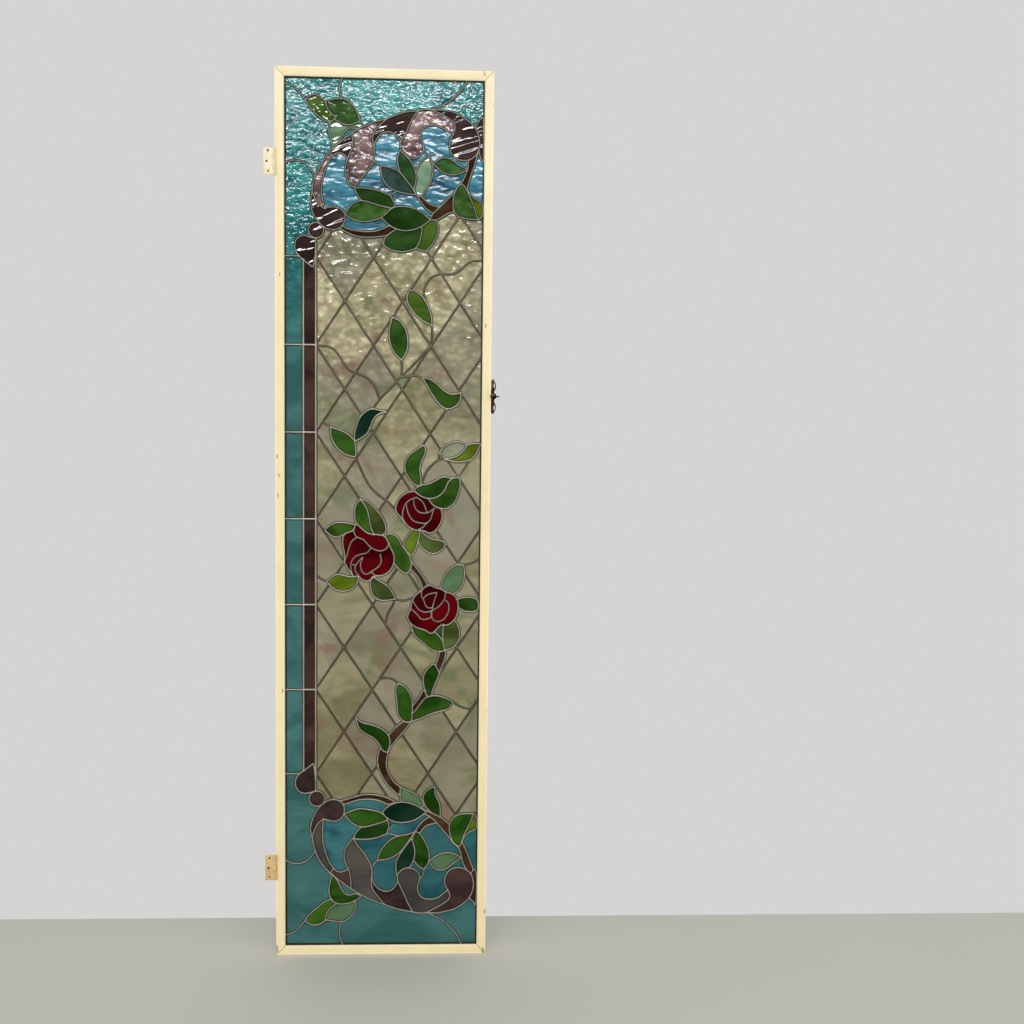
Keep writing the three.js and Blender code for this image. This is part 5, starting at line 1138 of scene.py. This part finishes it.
def lead_side(name, net, tree, front):
    """The leads of one face. The net lies flat with its joints marked, and the tree does the rest."""
    leads = net.leads()
    flat, beside = eased(leads, net.points)
    half_at, lines = {}, []
    for edge, half in leads.items():
        ends = [(v, net.in_lattice(edge)) for v in edge]
        lines.append(ends)
        for end in ends:
            half_at[end] = max(half_at.get(end, 0), half)
    used = sorted(half_at)
    number = {end: i for i, end in enumerate(used)}
    way = 1 if front else -1
    mesh = bpy.data.meshes.new(name)
    mesh.from_pydata([(flat[v][0] * MM, way * flat[v][1] * MM, 0) for v, _ in used],
                     [tuple(number[end] for end in ends) for ends in lines], [])
    for title, values in (("half", [half_at[end] * MM for end in used]),
                          ("lattice", [float(pale) for _, pale in used])):
        layer = mesh.attributes.new(title, "FLOAT", "POINT")
        layer.data.foreach_set("value", values)
    marks = mesh.attributes.new("joint", "BOOLEAN", "POINT")
    marks.data.foreach_set("value", [len(beside[v]) > 2 and (not pale or (v, False) not in number)
                                     for v, pale in used])
    y = GLASS_FRONT if front else GLASS_BACK
    return woven(name, mesh, tree, Rise=(LEAD_RISE if front else BACK_RISE) * MM, Turn=way * math.pi / 2,
                 Seed=SEED + (0 if front else 1), Lift=tuple(leaf_point(0, y, 0)))


def stubs(name, places, tree, lie):
    """Stubs at the given places of the frame, in metres."""
    mesh = bpy.data.meshes.new(name)
    mesh.from_pydata([tuple(p) for p in places], [], [])
    return woven(name, mesh, tree, Lie=lie)


def framed(name, section, material):
    """A mitred frame round the whole leaf from a closed section [in from the outer edge, y]."""
    points, faces = [], []
    n = len(section)
    for u, y in section:
        for x, z in ((u, u), (LEAF_W - u, u), (LEAF_W - u, LEAF_H - u), (u, LEAF_H - u)):
            points.append(leaf_point(x, y, z))
    for i in range(n):
        j = (i + 1) % n
        for c in range(4):
            d = (c + 1) % 4
            faces.append((4 * i + c, 4 * i + d, 4 * j + d, 4 * j + c))
    return mended(new_piece(name, points, faces, material), face_outward)


def mended(piece, mend):
    """The piece with its doubled points joined and one more thing done to its mesh."""
    shape = bmesh.new()
    shape.from_mesh(piece.data)
    bmesh.ops.remove_doubles(shape, verts=shape.verts, dist=TOUCHING)
    mend(shape)
    shape.to_mesh(piece.data)
    shape.free()
    return piece


def face_outward(shape):
    bmesh.ops.recalc_face_normals(shape, faces=shape.faces)


def flatten(shape):
    bmesh.ops.dissolve_limit(shape, angle_limit=math.radians(1), verts=shape.verts, edges=shape.edges)


def softened(node, name, material, width, segments=3, angle=30):
    """A copy of a CAD node with its edges eased."""
    piece = shown(name, nodes[node].data.copy())
    piece.data.materials.clear()
    piece.data.materials.append(material)
    mended(piece, flatten)
    ease = piece.modifiers.new("ease", "BEVEL")
    ease.width = width * MM
    ease.segments = segments
    ease.limit_method = "ANGLE"
    ease.angle_limit = math.radians(angle)
    ease.harden_normals = False
    baked(piece)
    for polygon in piece.data.polygons:
        polygon.use_smooth = True
    piece.data.set_sharp_from_angle(angle=math.radians(40))
    return piece


# ---- The leaded panel ----------------------------------------------------------------------------------
net = Net()
panes = glass_sheets(net)
SHEETS_OF = {
    "plum": ["glass_scroll_upper", "glass_half_upper", "glass_half_lower"],
    "mauve": ["glass_scroll_lower"],
    "strip": ["glass_strip"],
    "teal": ["glass_teal"],
    "clear": ["glass_diamonds"],
    "blue": [n for n in nodes if n.startswith("glass_blue")],
    "rose_red": [n for n in nodes if n.startswith("glass_rose")],
    "dark_green": ["glass_spray_upper"],
    "teal_leaf": [n for n in nodes if n.startswith("glass_spray_lower")],
    "pale_green": ["glass_corner_upper", "glass_corner_lower"],
    "stem": ["glass_stem_1"],
    "leaf_green": ["glass_vine", "glass_leaf_3", "glass_leaf_13"],
    "bright_green": ["glass_leaf_1"],
    "mid_green": ["glass_leaf_2", "glass_leaf_7", "glass_leaf_8", "glass_leaf_14"],
    "sage_green": ["glass_leaf_9", "glass_leaf_11", "glass_leaf_12"],
    "olive_green": ["glass_leaf_10", "glass_leaf_6"],
    "frost_green": [],
}
covered = {n for sheets in SHEETS_OF.values() for n in sheets}
SHEETS_OF["leaf_green"] += [n for n in nodes if n.startswith("glass_leaf") and n not in covered]
for kind, piece in panes.items():
    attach(piece, "sash")
    if SHEETS_OF[kind]:
        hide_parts(*SHEETS_OF[kind])

tree = lead_tree(LEAD)
front_leads = lead_side("leads_front", net, tree, True)
back_leads = lead_side("leads_back", net, tree, False)
# The edge lead, from inside the rebate to a slim line in sight, near black for its putty and as painted
# shadow in the rebate. It is bedded a little into the glass.
EDGE_IN, EDGE_OUT = FRAME_FACE - 8, FRAME_FACE + 3.6
BED = 0.05
CROWN, SHOULDER = LEAD_FRONT + 0.2, LEAD_FRONT + 0.6
BACK_CROWN = GLASS_BACK + 0.4
edge_front = framed("edge_lead_front", [
    [EDGE_IN, CROWN], [EDGE_OUT - 1.2, CROWN], [EDGE_OUT - 0.3, SHOULDER], [EDGE_OUT, GLASS_FRONT + BED],
    [EDGE_IN, GLASS_FRONT + BED]], REBATE_PUTTY_AND_SHADOW)
edge_back = framed("edge_lead_back", [
    [EDGE_IN, GLASS_BACK - BED], [EDGE_OUT, GLASS_BACK - BED], [EDGE_OUT - 0.6, BACK_CROWN],
    [EDGE_IN, BACK_CROWN]], REBATE_PUTTY_AND_SHADOW)
for piece in (front_leads, back_leads, edge_front, edge_back):
    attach(piece, "sash")
    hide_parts("leading")

# ---- Frame, beads and hardware -------------------------------------------------------------------------
WOOD_EDGE, HINGE_EDGE, LATCH_EDGE = 0.7, 0.25, 0.5  # how far their edges are eased
for node in ("stile_left", "stile_right", "rail_top", "rail_bottom", "bead_left", "bead_right", "bead_top",
             "bead_bottom"):
    upright = node.endswith(("left", "right"))
    piece = softened(node, node + "_wood", STILE_PAINT if upright else RAIL_PAINT, WOOD_EDGE)
    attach(piece, "sash")
    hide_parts(node)
for end, finish in (("upper", UPPER_HINGE), ("lower", LOWER_HINGE)):
    for part, body in (("jamb_plate", "root"), ("pin", "root"), ("sash_plate", "sash")):
        node = f"hinge_{end}_{part}"
        piece = softened(node, f"{end}_hinge_{part}", finish, HINGE_EDGE, 2)
        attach(piece, body)
        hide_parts(node)

# Dark stubs in the holes of the plates: shares of a plate's width and height.
HOLES = [(0.58, 0.4), (0.7, 0), (0.55, -0.37)]
IN_FREE, IN_LEAF = 0.75 * MM, 0.85 * MM  # how deep they sit
LEAF_HOLES_BACK = 2 * MM
in_free, in_leaf = [], []
for end in ("upper", "lower"):
    low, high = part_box(f"hinge_{end}_jamb_plate")
    pin_low, pin_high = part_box(f"hinge_{end}_pin")
    barrel = (pin_low.x + pin_high.x) / 2
    in_free += [(barrel + (low.x - barrel) * u, low.y + IN_FREE,
                 (low.z + high.z) / 2 + (high.z - low.z) * v) for u, v in HOLES]
    low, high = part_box(f"hinge_{end}_sash_plate")
    in_leaf += [(high.x - IN_LEAF, LEAF_ZERO.y + (high.y - LEAF_ZERO.y) * u + LEAF_HOLES_BACK,
                 (low.z + high.z) / 2 + (high.z - low.z) * v) for u, v in HOLES]
tree = stub_tree(HOLE_DARK_FILL)
for name, places, lie, body in (("old_screws_free", in_free, (math.pi / 2, 0, 0), "root"),
                                ("old_screws_leaf", in_leaf, (0, math.pi / 2, 0), "sash")):
    piece = stubs(name, places, tree, lie)
    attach(piece, body)
for node, body in (("latch_plate", "sash"), ("latch_knob", "latch")):
    piece = softened(node, node + "_brass", LATCH_BRASS, LATCH_EDGE, 3, 25)
    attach(piece, body)
    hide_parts(node)


# ---- Floor, lights and camera --------------------------------------------------------------------------
BACKDROP = shade(213, 212, 210)
FLOOR_Z = LEAF_ZERO.z
FLOOR_BEHIND, ROOM = 0.195, 6.0  # metres of floor behind the leaf's front, and to each side and before it
r = Recipe("floor")
cloud = r.noise(r.place, 1.3, 3.0)
grain = r.noise(r.place, 240, 2.0)
r.give(base_color=r.mix(cloud, shade(220, 220, 212), shade(212, 212, 204)), roughness=0.6,
       normal=r.bump(grain, 0.1, 0.3))
middle = leaf_point(LEAF_W / 2, 0, 0)
far_edge = LEAF_ZERO.y + FLOOR_BEHIND
floor = new_piece("floor", [(middle.x - ROOM, -ROOM, FLOOR_Z), (middle.x + ROOM, -ROOM, FLOOR_Z),
                            (middle.x + ROOM, far_edge, FLOOR_Z), (middle.x - ROOM, far_edge, FLOOR_Z)],
                  [(0, 1, 2, 3)], r.material)
floor.visible_glossy = False


def soft_light(name, place, aim, size, power, diffuse=True, glossy=True):
    """A rectangle of light, which may be left out of what matt or what shiny surfaces show."""
    lamp = bpy.data.lights.new(name, "AREA")
    lamp.shape = "RECTANGLE"
    lamp.size, lamp.size_y = size
    lamp.energy = power
    made = bpy.data.objects.new(name, lamp)
    made.location = place
    made.rotation_euler = (Vector(aim) - Vector(place)).to_track_quat("-Z", "Y").to_euler()
    made.visible_diffuse = diffuse
    made.visible_glossy = glossy
    bpy.context.scene.collection.objects.link(made)


heart = leaf_point(LEAF_W / 2, 0, LEAF_H * 0.5)
soft_light("room", heart + Vector((-0.1, -4.2, -0.25)), heart + Vector((0, 0, -0.35)), (4.0, 1.5), 62,
           glossy=False)
soft_light("left window", heart + Vector((-3.2, -2.6, -0.2)), heart, (2.0, 1.6), 13)
soft_light("right window", heart + Vector((3.3, -2.4, -0.2)), heart, (2.0, 1.6), 17)
soft_light("ceiling panels", (0.25, -2.2, FLOOR_Z + 3.15), heart, (3.0, 0.25), 104, diffuse=False)
world = bpy.data.worlds.new("room")
bpy.context.scene.world = world
world.use_nodes = True
backdrop = world.node_tree.nodes["Background"].inputs
backdrop["Color"].default_value = BACKDROP
backdrop["Strength"].default_value = 1.0
world.cycles_visibility.glossy = False
bpy.context.scene.view_settings.view_transform = "Standard"

EYE = (454.7, -2405.1, 1215.4)
LENS = 36  # millimetres, and the sensor is as wide
YAW, PITCH, ROLL = (math.radians(a) for a in (-2.33, -3.5, -0.68))
camera = bpy.data.objects.new("camera", bpy.data.cameras.new("camera"))
camera.data.sensor_width = camera.data.lens = LENS
facing = Matrix.Rotation(YAW, 3, "Z") @ Matrix.Rotation(PITCH, 3, "X") @ Matrix.Rotation(ROLL, 3, "Y")
camera.matrix_world = (Matrix.Translation(leaf_point(*EYE))
                       @ (facing @ Matrix.Rotation(math.radians(90), 3, "X")).to_4x4())
bpy.context.scene.collection.objects.link(camera)
bpy.context.scene.camera = camera
